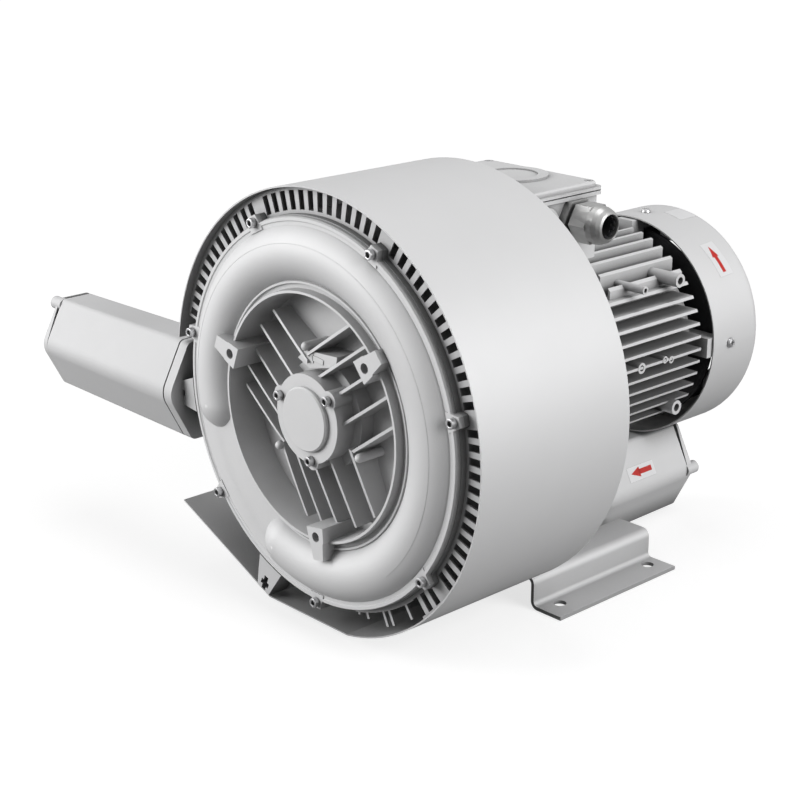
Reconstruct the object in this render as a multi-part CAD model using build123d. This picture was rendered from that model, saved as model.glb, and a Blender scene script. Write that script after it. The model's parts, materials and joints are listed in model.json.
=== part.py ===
from build123d import *
import math
import os

os.makedirs("parts", exist_ok=True)

# Place in the frame: X to the right seen from the cover, Y towards the fan end, Z up.
# The origin is the centre of the four foot holes on the underside of the feet.
# Stations are distances along the shaft axis, from the front rim of the hood.
AXIS_HEIGHT = 236.0
RIM_TO_FEET = 300.0

# Clearances
FIT = 0.05
SHEET_PLAY = 0.3
RIM_RUN = 1.0
SIDE_RUN = 0.8
WEB_RUN = 1.5
BALL_PLAY = 0.15
SCREW_PLAY = 0.1

# Hood sheet
HOOD_GAP = 20.5
HOOD_SHEET = 1.5
HOOD_LENGTH = 202.0
HOOD_LEFT_END = 172.0
HOOD_FLAT_RISE = 4.0
HOOD_FLAT_END = -80.0
SKIRT_ANGLE = 24.0
SKIRT_LENGTH = 160.0

# Blower casing
SPLIT_FRONT = 3.0
SPLIT_REAR = 165.0
FLANGE_RADIUS = 196.0
FLANGE_EDGE = 6.0
LIP_WIDTH = 3.0
LAND_DEPTH = 1.0
CASING_WALL = 8.5
CHANNEL_RADIUS = 161.0
CHANNEL_HALF = 22.5
CHANNEL_DEPTH = 14.8
CHANNEL_WALL = 4.0
CHANNEL_START = 250.5
CHANNEL_SWEEP = 298.5
DISH_RADIUS = 121.0
DISH_RIM = 126.0
DISH_RIM_TOP = -11.0
DISH_FLOOR = 26.0
DISH_FLOOR_WALL = 5.0
GROOVE_RADIUS = 134.0
LUG_COUNT = 7
LUG_FIRST = -90.0
LUG_REACH = 204.5
LUG_WIDTH = 20.0
LUG_DEPTH = 24.0
LUG_SCREW_RADIUS = 197.5

# Ribs, pads and pins in the dish of the front cover
RIB_THICKNESS = 3.0
RIB_HUB_TOP = -5.0
RIB_END_TOP = 5.0
RIB_END_RADIUS = 115.0
RIB_SECTORS = (
    (148.0, 99.0, (41.5, 14.0, -13.0, -38.0, -58.0)),
    (36.0, -21.0, (-55.0, -29.0, -4.0, 23.0, 50.0)),
    (292.0, 219.0, (63.0, 42.0, 18.0, -9.0, -41.0)),
)
PAD_ANGLES = (39.0, 159.0, 279.0)
PAD_TOP = -19.0
PAD_INNER = 108.0
PAD_OUTER = 142.0
PAD_INNER_WIDTH = 24.0
PAD_OUTER_WIDTH = 14.0
PAD_HOLE_RADIUS = 5.1
PAD_HOLE_CIRCLE = 118.0
PAD_HOLE_DEPTH = 28.0
PIN_ANGLES = (99.0, 219.0, 339.0)
PIN_CIRCLE = 70.0
PIN_RADIUS = 4.5
PIN_TOP = -7.0
HUB_RADIUS = 45.0
HUB_LOBE_RADIUS = 9.5
HUB_LOBE_CIRCLE = 42.0
HUB_TOP = -6.0
HUB_STEP = 10.0
HUB_BASE_RADIUS = 55.0
CAP_PLATE = 6.0
CAP_DISC_RADIUS = 32.6
CAP_DISC_HEIGHT = 4.6
CAP_SCREW_CIRCLE = 42.0
ARROW_PAD = ((-9.0, 47.0), (30.0, 56.0), (32.0, 67.0), (-15.0, 64.0), (-26.0, 54.0))
ARROW_PAD_TOP = 0.0

# Slotted lugs at the lower left
SLOT_LUG_ANGLES = (187.5, 247.8)
SLOT_LUG_REACH = 231.0
SLOT_LUG_INNER_WIDTH = 38.0
SLOT_LUG_OUTER_WIDTH = 19.0
SLOT_LUG_DEPTH = 25.0
SLOT_WIDTH = 6.0
SLOT_LENGTH = 18.0
SLOT_CROSS = 12.0

# Impellers
IMPELLER_RADIUS = 187.5
IMPELLER_WIDTH = 34.0
IMPELLER_RIM = 5.0
IMPELLER_WEB = 5.0
BLADES = 36
BLADE_THICKNESS = 3.2
IMPELLER_HUB_RADIUS = 24.0
IMPELLER_HUB_LENGTH = 25.5

# Grille ring
GRILLE_STATION = 9.0
GRILLE_SHEET = 2.0
GRILLE_SLOT_INNER = 200.5
GRILLE_BAND = 5.5
GRILLE_PITCH = 3.7
GRILLE_SLOT_SHARE = 0.56
GRILLE_SLOTS = 13
GRILLE_START = -50.0
GRILLE_END = 165.5
COMB_END = -77.0
COMB_TEETH = ((-75.5, 204.0), (-72.0, 208.0), (-64.8, 217.0), (-62.2, 217.0), (-54.3, 217.0))
SHOULDER_WIDTH = 6.0
SHOULDER_RISE = 2.0

# Shaft steps: front journal, impeller seat, drive journal, rotor seat, fan journal, fan seat
SHAFT_FRONT = -9.0
SHAFT_STEPS = ((14.0, 12.5), (135.5, 14.0), (203.0, 15.0), (440.0, 20.0), (459.0, 15.0), (522.0, 13.0))
KEY_WIDTH = 8.0
KEY_HEIGHT = 7.0
KEY_LENGTH = 20.0
SLEEVE_RADIUS = 20.0
SPACER_RADIUS = 22.0
SEAL_RADIUS = 26.0
SEAL_WIDTH = 8.0

# Bearings: bore radius, outer radius, width, ball radius, balls
SMALL_BEARING = (12.5, 31.0, 17.0, 5.7, 7)
LARGE_BEARING = (15.0, 36.0, 19.0, 6.2, 8)
CAGE_THICKNESS = 1.6

# Motor
MOTOR_FRONT = 205.0
MOTOR_REAR = 452.0
BARREL_RADIUS = 95.0
BARREL_BORE = 84.0
FIN_RADIUS = 119.0
FIN_THICKNESS = 3.0
FIN_FRONT = 226.0
FIN_REAR = 450.0
FIN_PITCH = 14.0
SIDE_FINS = 5
TOP_FIN_OFFSETS = (16.0, 30.0, 44.0, 58.0, 72.0, 86.0)
TOP_FIN_SHORT = 70.0
TOP_FIN_GAP = 12.0
FLANGE_EAR_CIRCLE = 106.0
EAR_RADIUS = 10.0
EAR_DEPTH = 12.0
STATOR_BORE = 52.0
AIR_GAP = 0.6
CORE_FRONT = 250.0
CORE_REAR = 400.0
WINDING_REACH = 22.0

# Fan and fan cover
FAN_COVER_RADIUS = 126.4
FAN_COVER_FRONT = 463.0
FAN_COVER_REAR = 549.0
FAN_COVER_SHEET = 1.5
FAN_COVER_CORNER = 14.0
FAN_FRONT = 480.0
FAN_WIDTH = 38.0
FAN_RADIUS = 108.0
FAN_BLADES = 8
FAN_SCREW_ANGLES = (0.0, 90.0, 180.0, 240.0)
FAN_SCREW_STATION = 492.0
INTAKE_SPOKES = 6
INTAKE_RINGS = 4

# Terminal box and gland
BOX_HALF_WIDTH = 80.0
BOX_FRONT = 208.0
BOX_REAR = 318.0
BOX_FLOOR = 120.0
BOX_TOP = 190.0
BOX_WALL = 4.0
BOX_CORNER = 10.0
BOX_GASKET = 1.2
BOX_RIM = 3.0
BOX_RIM_HEIGHT = 4.0
LID_HEIGHT = 8.0
LID_BRIM = 2.6
LID_INSET = 4.5
LID_DISC_RADIUS = 38.0
LID_DISC_RISE = 2.5
LID_RECESS_RADIUS = 27.0
LID_RECESS = 1.5
LID_DISC_X = 0.0
LID_DISC_STATION = 270.0
GLAND_STATION = 276.0
GLAND_HEIGHT = 165.5
GLAND_HEX = 38.0
GLAND_COLLAR_HEX = 40.5
GLAND_THREAD = 16.0
GLAND_BORE = 12.5
GLAND_LENGTH = 50.0
PLUG_STATION = 234.0

# Silencers
SILENCER_HALF_WIDTH = 50.0
SILENCER_HALF_HEIGHT = 54.5
SILENCER_FLAT = 21.5
SILENCER_EDGE = 8.0
SILENCER_NOSE = 24.0
SILENCER_DRAFT = 3.0
SILENCER_WALL = 4.0
SILENCER_CAP = 11.0
SILENCER_BOSS = 7.5
PORT_BORE = 28.3
PORT_COLLAR = 5.0
PORT_DEPTH = 24.0
GASKET = 2.0
PORT_FLANGE = 13.0
PORT_NECK_INSET = 22.0
PORT_WALL = 6.0
LEFT_PORT_FACE = 228.0
LEFT_PORT_STATION = 28.5
LEFT_PORT_DROP = 29.5
LEFT_SILENCER_LENGTH = 230.0
REAR_PORT_X = 13.0
REAR_PORT_DROP = 179.0
REAR_PORT_FACE = 217.0
REAR_SILENCER_LENGTH = 301.0
LINER = 12.0

# Feet
FOOT_SHEET = 4.0
FOOT_OUTER = 145.0
FOOT_WEB = 107.0
FOOT_INNER = 64.0
FOOT_RISE = 36.0
FOOT_FRONT = 203.0
FOOT_REAR = 391.0
FOOT_HOLE_RADIUS = 7.0
FOOT_SPACING_X = 243.0
FOOT_SPACING_Y = 144.0
LEG_INNER = 60.0
LEG_OUTER = 90.0
LEG_REAR = 246.0
LEG_HEIGHT = 14.0
FOOT_SCREW_X = 75.0
FOOT_SCREW_STATIONS = (218.0, 238.0)

# Screws: shank radius, head radius, head height
M5 = (2.5, 4.3, 4.0)
M6 = (3.0, 5.0, 6.0)
M8 = (4.0, 6.5, 7.0)
M10 = (5.0, 8.5, 6.4)

# Sizes that follow from the ones above
MIRROR = SPLIT_FRONT + SPLIT_REAR
LIP_TOP = SPLIT_FRONT - FLANGE_EDGE
LAND_TOP = LIP_TOP + LAND_DEPTH
FLOOR_BACK = DISH_FLOOR + DISH_FLOOR_WALL
POCKET_RADIUS = IMPELLER_RADIUS + RIM_RUN
CASING_RADIUS = POCKET_RADIUS + CASING_WALL
IMPELLER_FRONT = SPLIT_FRONT + SIDE_RUN
IMPELLER_BACK = IMPELLER_FRONT + IMPELLER_WIDTH
POCKET_END = IMPELLER_BACK + SIDE_RUN
WEB_FRONT = FLOOR_BACK + WEB_RUN
WEB_BACK = WEB_FRONT + IMPELLER_WEB
IMPELLER_BORE_RADIUS = DISH_RIM + RIM_RUN
IMPELLER_HUB_BACK = WEB_FRONT + IMPELLER_HUB_LENGTH
HOOD_RADIUS = LUG_REACH + HOOD_GAP
HOOD_FLAT_DROP = HOOD_RADIUS - HOOD_FLAT_RISE
HOOD_INSIDE = HOOD_RADIUS - HOOD_SHEET
GRILLE_SLOT_OUTER = HOOD_RADIUS - GRILLE_BAND
LUG_PITCH = 360.0 / LUG_COUNT
LUG_ANGLES = tuple(LUG_FIRST + index * LUG_PITCH for index in range(LUG_COUNT))
LID_BOTTOM = BOX_TOP + BOX_GASKET
LEG_BOTTOM = -(AXIS_HEIGHT - FOOT_RISE)


# Helpers for shapes about the shaft axis

def spun(face, start=0.0, sweep=360.0):
    """A face drawn in (radius, station), turned about the shaft; angles are seen from the front."""
    body = revolve(face, axis=Axis((0, 0, 0), (0, -1, 0)), revolution_arc=sweep)
    return Rot(0, -start, 0) * body


def turned(points, start=0.0, sweep=360.0):
    """A closed outline of (radius, station) points, turned about the shaft."""
    return spun(make_face(Polyline(*points, close=True)), start, sweep)


def ring(inner, outer, front, back, start=0.0, sweep=360.0):
    """A plain ring or disc between two stations."""
    return turned([(inner, front), (outer, front), (outer, back), (inner, back)], start, sweep)


def prism(outline, front, back):
    """An outline drawn in (x, z), run from one station to another."""
    return Pos(0, back, 0) * extrude(Plane.XZ * outline, amount=back - front, dir=(0, -1, 0))


def rod(radius, front, back, x=0.0, z=0.0):
    """A cylinder parallel to the shaft."""
    return prism(Pos(x, z) * Circle(radius), front, back)


def cross_rod(radius, start, end, station, z):
    """A cylinder parallel to X."""
    return Pos((start + end) / 2, station, z) * Rot(0, 90, 0) * Cylinder(radius, abs(end - start))


def block(x0, x1, front, back, z0, z1):
    """A box given by its bounds."""
    return Pos((x0 + x1) / 2, (front + back) / 2, (z0 + z1) / 2) * Box(x1 - x0, back - front, z1 - z0)


def at(angle, shape):
    """A shape built on the +X side, turned to an angle seen from the front."""
    return Rot(0, -angle, 0) * shape


def mirrored(shape):
    """The same shape facing the other way about the middle of the casing."""
    return Pos(0, MIRROR, 0) * mirror(shape, about=Plane.XZ)


def joined(shapes):
    """All shapes as one body."""
    shapes = list(shapes)
    return shapes[0].fuse(*shapes[1:]) if len(shapes) > 1 else shapes[0]


def polar(radius, angle):
    """Point in (x, z) at an angle seen from the front."""
    return (radius * math.cos(math.radians(angle)), radius * math.sin(math.radians(angle)))


def screw(size, length, front=True):
    """Socket head screw along Y with its seat at station 0; front means the head points to -Y."""
    shank_radius, head_radius, head_height = size
    side = 1 if front else -1
    shank = Pos(0, side * length / 2, 0) * Rot(90, 0, 0) * Cylinder(shank_radius, length)
    head = Pos(0, -side * head_height / 2, 0) * Rot(90, 0, 0) * Cylinder(head_radius, head_height)
    return shank + head


def wedge(inner, outer, inner_width, outer_width):
    """Tapered outline in (x, z) on the +X side, symmetric about the X axis."""
    return Polygon(
        (inner, -inner_width / 2), (outer, -outer_width / 2),
        (outer, outer_width / 2), (inner, inner_width / 2), align=None)


# Side channels

def channel_section(face, half_width, depth):
    """Circular segment in (radius, station) whose chord lies on a face; negative depth is forward."""
    left = (CHANNEL_RADIUS - half_width, face)
    right = (CHANNEL_RADIUS + half_width, face)
    crest = (CHANNEL_RADIUS, face + depth)
    return make_face(ThreePointArc(left, crest, right) + Line(right, left))


def channel(face, half_width, depth):
    """Side channel with rounded ends, broken at the lower left between its ports."""
    run = spun(channel_section(face, half_width, depth), CHANNEL_START, CHANNEL_SWEEP)
    right = (CHANNEL_RADIUS + half_width, face)
    crest = (CHANNEL_RADIUS, face + depth)
    middle = (CHANNEL_RADIUS, face)
    bulge = (half_width ** 2 + depth ** 2) / (2 * abs(depth))
    side = -1 if depth < 0 else 1
    half_way = math.asin(half_width / bulge) / 2
    shoulder = (CHANNEL_RADIUS + bulge * math.sin(half_way),
                face + depth - side * bulge * (1 - math.cos(half_way)))
    arc = ThreePointArc(crest, shoulder, right)
    half = make_face(arc + Line(right, middle) + Line(middle, crest))
    end = revolve(half, axis=Axis((CHANNEL_RADIUS, 0, 0), (0, 1, 0)), revolution_arc=360)
    return run + at(CHANNEL_START, end) + at(CHANNEL_START + CHANNEL_SWEEP, end)


# Front cover

def hub_outline():
    """Round hub with three screw lobes."""
    outline = Circle(HUB_RADIUS)
    for angle in PAD_ANGLES:
        x, z = polar(HUB_LOBE_CIRCLE, angle)
        outline += Pos(x, z) * Circle(HUB_LOBE_RADIUS)
    return outline


def cover_plate():
    """Flange, sunk land, dish wall and dish floor in one turned body."""
    lip_inner = FLANGE_RADIUS - 1 - LIP_WIDTH
    return turned([
        (SLEEVE_RADIUS, FLOOR_BACK), (DISH_RIM, FLOOR_BACK), (DISH_RIM, SPLIT_FRONT),
        (FLANGE_RADIUS, SPLIT_FRONT), (FLANGE_RADIUS, LIP_TOP + 2), (FLANGE_RADIUS - 1, LIP_TOP),
        (lip_inner, LIP_TOP), (lip_inner - LAND_DEPTH, LAND_TOP), (GROOVE_RADIUS + 1, LAND_TOP),
        (GROOVE_RADIUS, LAND_TOP - 2.5), (GROOVE_RADIUS - 2, LAND_TOP - 2.5), (GROOVE_RADIUS - 3, LAND_TOP),
        (DISH_RIM + 1, LAND_TOP), (DISH_RIM, DISH_RIM_TOP), (DISH_RIM - 2.5, DISH_RIM_TOP),
        (DISH_RADIUS, DISH_FLOOR), (SLEEVE_RADIUS, DISH_FLOOR)])


def rib_sector(direction, start, offsets):
    """Five straight ribs, side by side, kept inside one third of the dish."""
    limit = DISH_RADIUS + 1 if direction < 90 else RIB_END_RADIUS
    field = turned([
        (HUB_RADIUS - 5, RIB_HUB_TOP), (limit, RIB_END_TOP),
        (limit, DISH_FLOOR + 1), (HUB_RADIUS - 5, DISH_FLOOR + 1)], start, 120.0)
    reach = DISH_RADIUS + 5
    plates = []
    for offset in offsets:
        plate = block(0, reach, PIN_TOP, FLOOR_BACK, -offset - RIB_THICKNESS / 2, -offset + RIB_THICKNESS / 2)
        plates.append(Rot(0, -direction, 0) * plate)
    return field & joined(plates)


def front_pad(angle):
    """Raised pad for a threaded hole, on a column that stands on the dish floor."""
    top = prism(wedge(PAD_INNER, PAD_OUTER, PAD_INNER_WIDTH, PAD_OUTER_WIDTH), PAD_TOP, LAND_TOP + 1)
    column_outer = DISH_RADIUS + 3
    column = prism(wedge(PAD_INNER, column_outer, PAD_INNER_WIDTH, PAD_INNER_WIDTH - 3), PAD_TOP, DISH_FLOOR + 1)
    return at(angle, top + column)


def dish_pin(angle):
    """Ejector pin stub with a domed top."""
    x, z = polar(PIN_CIRCLE, angle)
    stub = rod(PIN_RADIUS, PIN_TOP + PIN_RADIUS, DISH_FLOOR + 1, x, z)
    return stub + Pos(x, PIN_TOP + PIN_RADIUS, z) * Sphere(PIN_RADIUS)


def screw_lugs(front, back, inner):
    """Pointed lugs for the casing screws around the rim."""
    lug = prism(wedge(inner, LUG_REACH, LUG_WIDTH, LUG_WIDTH / 2), front, back)
    return [at(angle, lug) for angle in LUG_ANGLES]


def screw_holes(front, back):
    """Holes for the casing screws."""
    hole = rod(M6[0] + SCREW_PLAY, front, back, LUG_SCREW_RADIUS, 0)
    return joined([at(angle, hole) for angle in LUG_ANGLES])


def make_front_cover():
    """Cast cover with the side channel of the first stage and the ribbed dish."""
    body = cover_plate()
    outer_depth = CHANNEL_DEPTH + CHANNEL_WALL - (SPLIT_FRONT - LAND_TOP)
    body += channel(LAND_TOP, CHANNEL_HALF + CHANNEL_WALL, -outer_depth)
    hub = prism(hub_outline(), HUB_TOP, HUB_STEP + 1) + rod(HUB_BASE_RADIUS, HUB_STEP, FLOOR_BACK)
    parts = [hub]
    parts += [rib_sector(direction, start, offsets) for direction, start, offsets in RIB_SECTORS]
    parts += [front_pad(angle) for angle in PAD_ANGLES]
    parts += [dish_pin(angle) for angle in PIN_ANGLES]
    parts += [prism(Polygon(*ARROW_PAD, align=None), ARROW_PAD_TOP, DISH_FLOOR + 1)]
    parts += screw_lugs(LIP_TOP, SPLIT_FRONT, FLANGE_RADIUS - 8)
    body = body.fuse(*parts)
    bore_radius, outer_radius, width = SMALL_BEARING[:3]
    seat_end = SHAFT_STEPS[0][0]
    cuts = [
        channel(SPLIT_FRONT, CHANNEL_HALF, -CHANNEL_DEPTH),
        rod(outer_radius + FIT, HUB_TOP - 1, seat_end),
        rod(SEAL_RADIUS + FIT, seat_end - 1, seat_end + SEAL_WIDTH),
        rod(SLEEVE_RADIUS + RIM_RUN, seat_end, FLOOR_BACK + 1),
        screw_holes(LIP_TOP - 1, SPLIT_FRONT + 1)]
    for angle in PAD_ANGLES:
        pad_hole = rod(PAD_HOLE_RADIUS, PAD_TOP - 1, PAD_TOP + PAD_HOLE_DEPTH, PAD_HOLE_CIRCLE, 0)
        cap_hole = rod(M6[0] + SCREW_PLAY, HUB_TOP - 1, HUB_STEP, CAP_SCREW_CIRCLE, 0)
        cuts += [at(angle, pad_hole), at(angle, cap_hole)]
    return body.cut(*cuts)


def make_bearing_cap():
    """Cap over the front bearing, with a raised disc and three lobes."""
    plate = prism(hub_outline(), HUB_TOP - CAP_PLATE, HUB_TOP)
    disc_top = HUB_TOP - CAP_PLATE - CAP_DISC_HEIGHT
    disc = turned([(0, disc_top), (CAP_DISC_RADIUS - 1.5, disc_top), (CAP_DISC_RADIUS, disc_top + 1.5),
                   (CAP_DISC_RADIUS, HUB_TOP), (0, HUB_TOP)])
    body = plate + disc - rod(SMALL_BEARING[1] - 5, disc_top + 3, HUB_TOP + 1)
    spigot_end = SHAFT_STEPS[0][0] - SMALL_BEARING[2] - FIT
    body += ring(SMALL_BEARING[1] - 5, SMALL_BEARING[1] - FIT, HUB_TOP - 1, spigot_end)
    hole = rod(M6[0] + SCREW_PLAY, disc_top, HUB_TOP + 1, CAP_SCREW_CIRCLE, 0)
    return body.cut(*[at(angle, hole) for angle in PAD_ANGLES])


def make_bearing_cap_screws():
    """Three screws of the bearing cap."""
    one = Pos(CAP_SCREW_CIRCLE, HUB_TOP - CAP_PLATE, 0) * screw(M6, CAP_PLATE + 14)
    return [at(angle, one) for angle in PAD_ANGLES]


def make_cover_screws():
    """Screws around the front cover."""
    one = Pos(LUG_SCREW_RADIUS, LIP_TOP, 0) * screw(M6, LUG_DEPTH)
    return [at(angle, one) for angle in LUG_ANGLES]


# Middle housing

def slotted_lug(angle):
    """Lug with a cross-shaped open slot at its outer end."""
    outline = wedge(CASING_RADIUS - 4, SLOT_LUG_REACH, SLOT_LUG_INNER_WIDTH, SLOT_LUG_OUTER_WIDTH)
    slot_middle = SLOT_LUG_REACH - SLOT_LENGTH / 2
    outline -= Pos(slot_middle + 1, 0) * Rectangle(SLOT_LENGTH + 2, SLOT_WIDTH)
    outline -= Pos(slot_middle, 0) * Rectangle(SLOT_WIDTH, SLOT_CROSS)
    return at(angle, prism(outline, LIP_TOP, LIP_TOP + SLOT_LUG_DEPTH))


def silencer_outline(inset=0.0):
    """Six-sided section of a silencer with rounded side corners, drawn about its centre."""
    lean = math.atan2(SILENCER_HALF_WIDTH - SILENCER_FLAT, SILENCER_HALF_HEIGHT)
    width = SILENCER_HALF_WIDTH - inset / math.cos(lean)
    height = SILENCER_HALF_HEIGHT - inset
    flat = width - height * math.tan(lean)
    sketch = Polygon((-flat, height), (-width, 0), (-flat, -height), (flat, -height), (width, 0), (flat, height), align=None)
    sides = [near(sketch, -width, 0), near(sketch, width, 0)]
    sketch = fillet(sides, max(SILENCER_NOSE - inset, 4.0))
    corners = [near(sketch, x, z) for x in (-flat, flat) for z in (-height, height)]
    return fillet(corners, max(SILENCER_EDGE - inset, 2.0))


def near(sketch, x, z):
    """The vertex of a sketch closest to a place."""
    return min(sketch.vertices(), key=lambda vertex: math.hypot(vertex.X - x, vertex.Y - z))


def silencer_solid(inset, start, end, length):
    """Solid of the tapering silencer form between two distances from its joint."""
    def section(distance):
        outline = silencer_outline(inset + SILENCER_DRAFT * distance / length)
        return Pos(0, distance, 0) * (Plane.XZ * outline)
    return loft([section(start), section(end)], ruled=True)


def left_placed(shape):
    """A shape run along +Y from station 0, turned to leave the left port along -X."""
    return Pos(0, LEFT_PORT_STATION, -LEFT_PORT_DROP) * Rot(0, 0, 90) * shape


def rear_placed(shape):
    """A shape run along +Y, moved to the line of the rear port."""
    return Pos(REAR_PORT_X, 0, -REAR_PORT_DROP) * shape


def stage_wall():
    """Wall behind the first impeller, with its side channel; the channel bulges into the middle."""
    bulge = channel(POCKET_END, CHANNEL_HALF + CHANNEL_WALL, CHANNEL_DEPTH + CHANNEL_WALL)
    return ring(SEAL_RADIUS, CASING_RADIUS - 2, POCKET_END, POCKET_END + 6.5) + bulge


def make_mid_housing():
    """Cast housing between the stages, with the left port and both slotted lugs."""
    shell = ring(POCKET_RADIUS, CASING_RADIUS, SPLIT_FRONT, SPLIT_REAR)
    hub = ring(SEAL_RADIUS, SEAL_RADIUS + 8, POCKET_END, MIRROR - POCKET_END)
    parts = [stage_wall(), mirrored(stage_wall()), hub]
    shoulder_front = GRILLE_STATION + GRILLE_SHEET
    parts.append(ring(CASING_RADIUS - 4, CASING_RADIUS + SHOULDER_RISE, shoulder_front, shoulder_front + SHOULDER_WIDTH))
    parts += screw_lugs(SPLIT_FRONT, SPLIT_FRONT + LUG_DEPTH, CASING_RADIUS - 4)
    parts += screw_lugs(SPLIT_REAR - LUG_DEPTH, SPLIT_REAR, CASING_RADIUS - 4)
    parts += [slotted_lug(angle) for angle in SLOT_LUG_ANGLES]
    rib = block(SEAL_RADIUS + 6, POCKET_RADIUS + 1, POCKET_END + 2, MIRROR - POCKET_END - 2, -2, 2)
    parts += [at(angle, rib) for angle in range(15, 375, 60)]
    neck_inner = math.sqrt(POCKET_RADIUS ** 2 - (LEFT_PORT_DROP + SILENCER_FLAT) ** 2)
    neck = left_placed(prism(silencer_outline(PORT_NECK_INSET), neck_inner - 8, LEFT_PORT_FACE))
    flange = left_placed(prism(silencer_outline(0), LEFT_PORT_FACE - PORT_FLANGE, LEFT_PORT_FACE))
    body = shell.fuse(*parts, neck, flange)
    pocket = ring(IMPELLER_BORE_RADIUS - 2, POCKET_RADIUS, SPLIT_FRONT - 1, POCKET_END)
    side = channel(POCKET_END, CHANNEL_HALF, CHANNEL_DEPTH)
    duct = left_placed(prism(silencer_outline(PORT_NECK_INSET + PORT_WALL), neck_inner - 30, LEFT_PORT_FACE + 1))
    limit = block(-LEFT_PORT_FACE - 2, -neck_inner + 40, POCKET_END - 32, POCKET_END + CHANNEL_DEPTH, -90, 30)
    centre = ring(0, SEAL_RADIUS - 0.01, SPLIT_FRONT, SPLIT_REAR)
    rear_pocket = mirrored(pocket)
    rear_side = mirrored(side)
    transfer_x, transfer_z = polar(CHANNEL_RADIUS, CHANNEL_START + 8)
    transfer = rod(13, POCKET_END, MIRROR - POCKET_END, transfer_x, transfer_z)
    holes = screw_holes(SPLIT_FRONT - 1, SPLIT_REAR + 1)
    cover_space = ring(0, FLANGE_RADIUS + SHEET_PLAY, LIP_TOP - 1, SPLIT_FRONT)
    return body.cut(pocket, side, rear_pocket, rear_side, duct & limit, transfer, holes, cover_space, centre)


# Rear housing

def make_rear_housing():
    """Cast rear casing: side channel of the second stage, motor flange, rear port and legs."""
    bearing_outer = LARGE_BEARING[1]
    seat_front = SHAFT_STEPS[2][0] - LARGE_BEARING[2]
    floor_front = MIRROR - FLOOR_BACK
    floor_back = MIRROR - DISH_FLOOR
    land = MIRROR - LAND_TOP
    lip = MIRROR - LIP_TOP
    sleeve_clear = SLEEVE_RADIUS + RIM_RUN
    seal_front = floor_front + 7
    plate = turned([
        (sleeve_clear, floor_front), (DISH_RIM, floor_front), (DISH_RIM, SPLIT_REAR),
        (FLANGE_RADIUS, SPLIT_REAR), (FLANGE_RADIUS, lip), (FLANGE_RADIUS - 5, lip),
        (FLANGE_RADIUS - 6, land), (DISH_RIM + 1, land), (DISH_RIM, lip + 8),
        (DISH_RIM - 3, lip + 8), (DISH_RADIUS, floor_back), (BARREL_RADIUS + 3, floor_back),
        (BARREL_RADIUS + 3, MOTOR_FRONT), (BARREL_RADIUS - 5, MOTOR_FRONT), (BARREL_RADIUS - 5, floor_back),
        (SEAL_RADIUS + 10, floor_back), (bearing_outer + 10, seat_front - 8), (bearing_outer + 10, MOTOR_FRONT - 2),
        (bearing_outer + FIT, MOTOR_FRONT - 2), (bearing_outer + FIT, seat_front), (bearing_outer - 5, seat_front),
        (SEAL_RADIUS + FIT, seat_front - 8), (SEAL_RADIUS + FIT, seal_front), (sleeve_clear, seal_front)])
    outer_depth = CHANNEL_DEPTH + CHANNEL_WALL - (SPLIT_FRONT - LAND_TOP)
    parts = [mirrored(channel(LAND_TOP, CHANNEL_HALF + CHANNEL_WALL, -outer_depth))]
    rib_top = MOTOR_FRONT - 18
    rib = block(BARREL_RADIUS, DISH_RADIUS + 2, floor_back - 1, rib_top, -2, 2)
    inner_rib = block(SEAL_RADIUS + 12, BARREL_RADIUS - 3, floor_back - 1, rib_top - 10, -2, 2)
    parts += [at(angle, rib) for angle in range(0, 360, 30)]
    parts += [at(angle, inner_rib) for angle in range(0, 360, 60)]
    ear = prism(Pos(FLANGE_EAR_CIRCLE, 0) * Circle(EAR_RADIUS) + Pos(FLANGE_EAR_CIRCLE - 7, 0) * Rectangle(14, 2 * EAR_RADIUS),
                MOTOR_FRONT - 14, MOTOR_FRONT)
    parts += [at(angle, ear) for angle in (45, 135, 225, 315)]
    parts += [at(angle, prism(wedge(FLANGE_RADIUS - 8, LUG_REACH, LUG_WIDTH, LUG_WIDTH / 2), SPLIT_REAR, lip))
              for angle in LUG_ANGLES]
    neck_radius = SILENCER_HALF_WIDTH - PORT_NECK_INSET
    neck = rod(neck_radius, SPLIT_REAR + 2, REAR_PORT_FACE, REAR_PORT_X, -CHANNEL_RADIUS)
    parts.append(neck)
    parts.append(rear_placed(prism(silencer_outline(0), REAR_PORT_FACE - PORT_FLANGE, REAR_PORT_FACE)))
    for side in (-1, 1):
        inner = min(side * LEG_INNER, side * LEG_OUTER)
        outer = max(side * LEG_INNER, side * LEG_OUTER)
        parts.append(block(inner, outer, SPLIT_REAR + 4, LEG_REAR, LEG_BOTTOM, LEG_BOTTOM + LEG_HEIGHT))
        parts.append(block(inner, outer, SPLIT_REAR + 4, lip + 14, LEG_BOTTOM, -FLANGE_RADIUS * 0.72))
    body = plate.fuse(*parts)
    cuts = [mirrored(channel(SPLIT_FRONT, CHANNEL_HALF, -CHANNEL_DEPTH)), screw_holes(SPLIT_REAR - 1, lip + 1)]
    cuts.append(rod(neck_radius - PORT_WALL, SPLIT_REAR - 1, REAR_PORT_FACE + 1, REAR_PORT_X, -CHANNEL_RADIUS))
    motor_hole = rod(M8[0] + SCREW_PLAY, MOTOR_FRONT - 15, MOTOR_FRONT + 1, FLANGE_EAR_CIRCLE, 0)
    cuts += [at(angle, motor_hole) for angle in (45, 135, 225, 315)]
    leg_hole = Cylinder(M8[0] + SCREW_PLAY, 2 * LEG_HEIGHT)
    for side in (-1, 1):
        cuts += [Pos(side * FOOT_SCREW_X, station, LEG_BOTTOM) * leg_hole for station in FOOT_SCREW_STATIONS]
    return body.cut(*cuts)


def make_rear_casing_screws():
    """Screws that hold the rear housing to the middle housing."""
    one = Pos(LUG_SCREW_RADIUS, MIRROR - LIP_TOP, 0) * screw(M6, LUG_DEPTH, front=False)
    return [at(angle, one) for angle in LUG_ANGLES]


# Impellers and shaft

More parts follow.
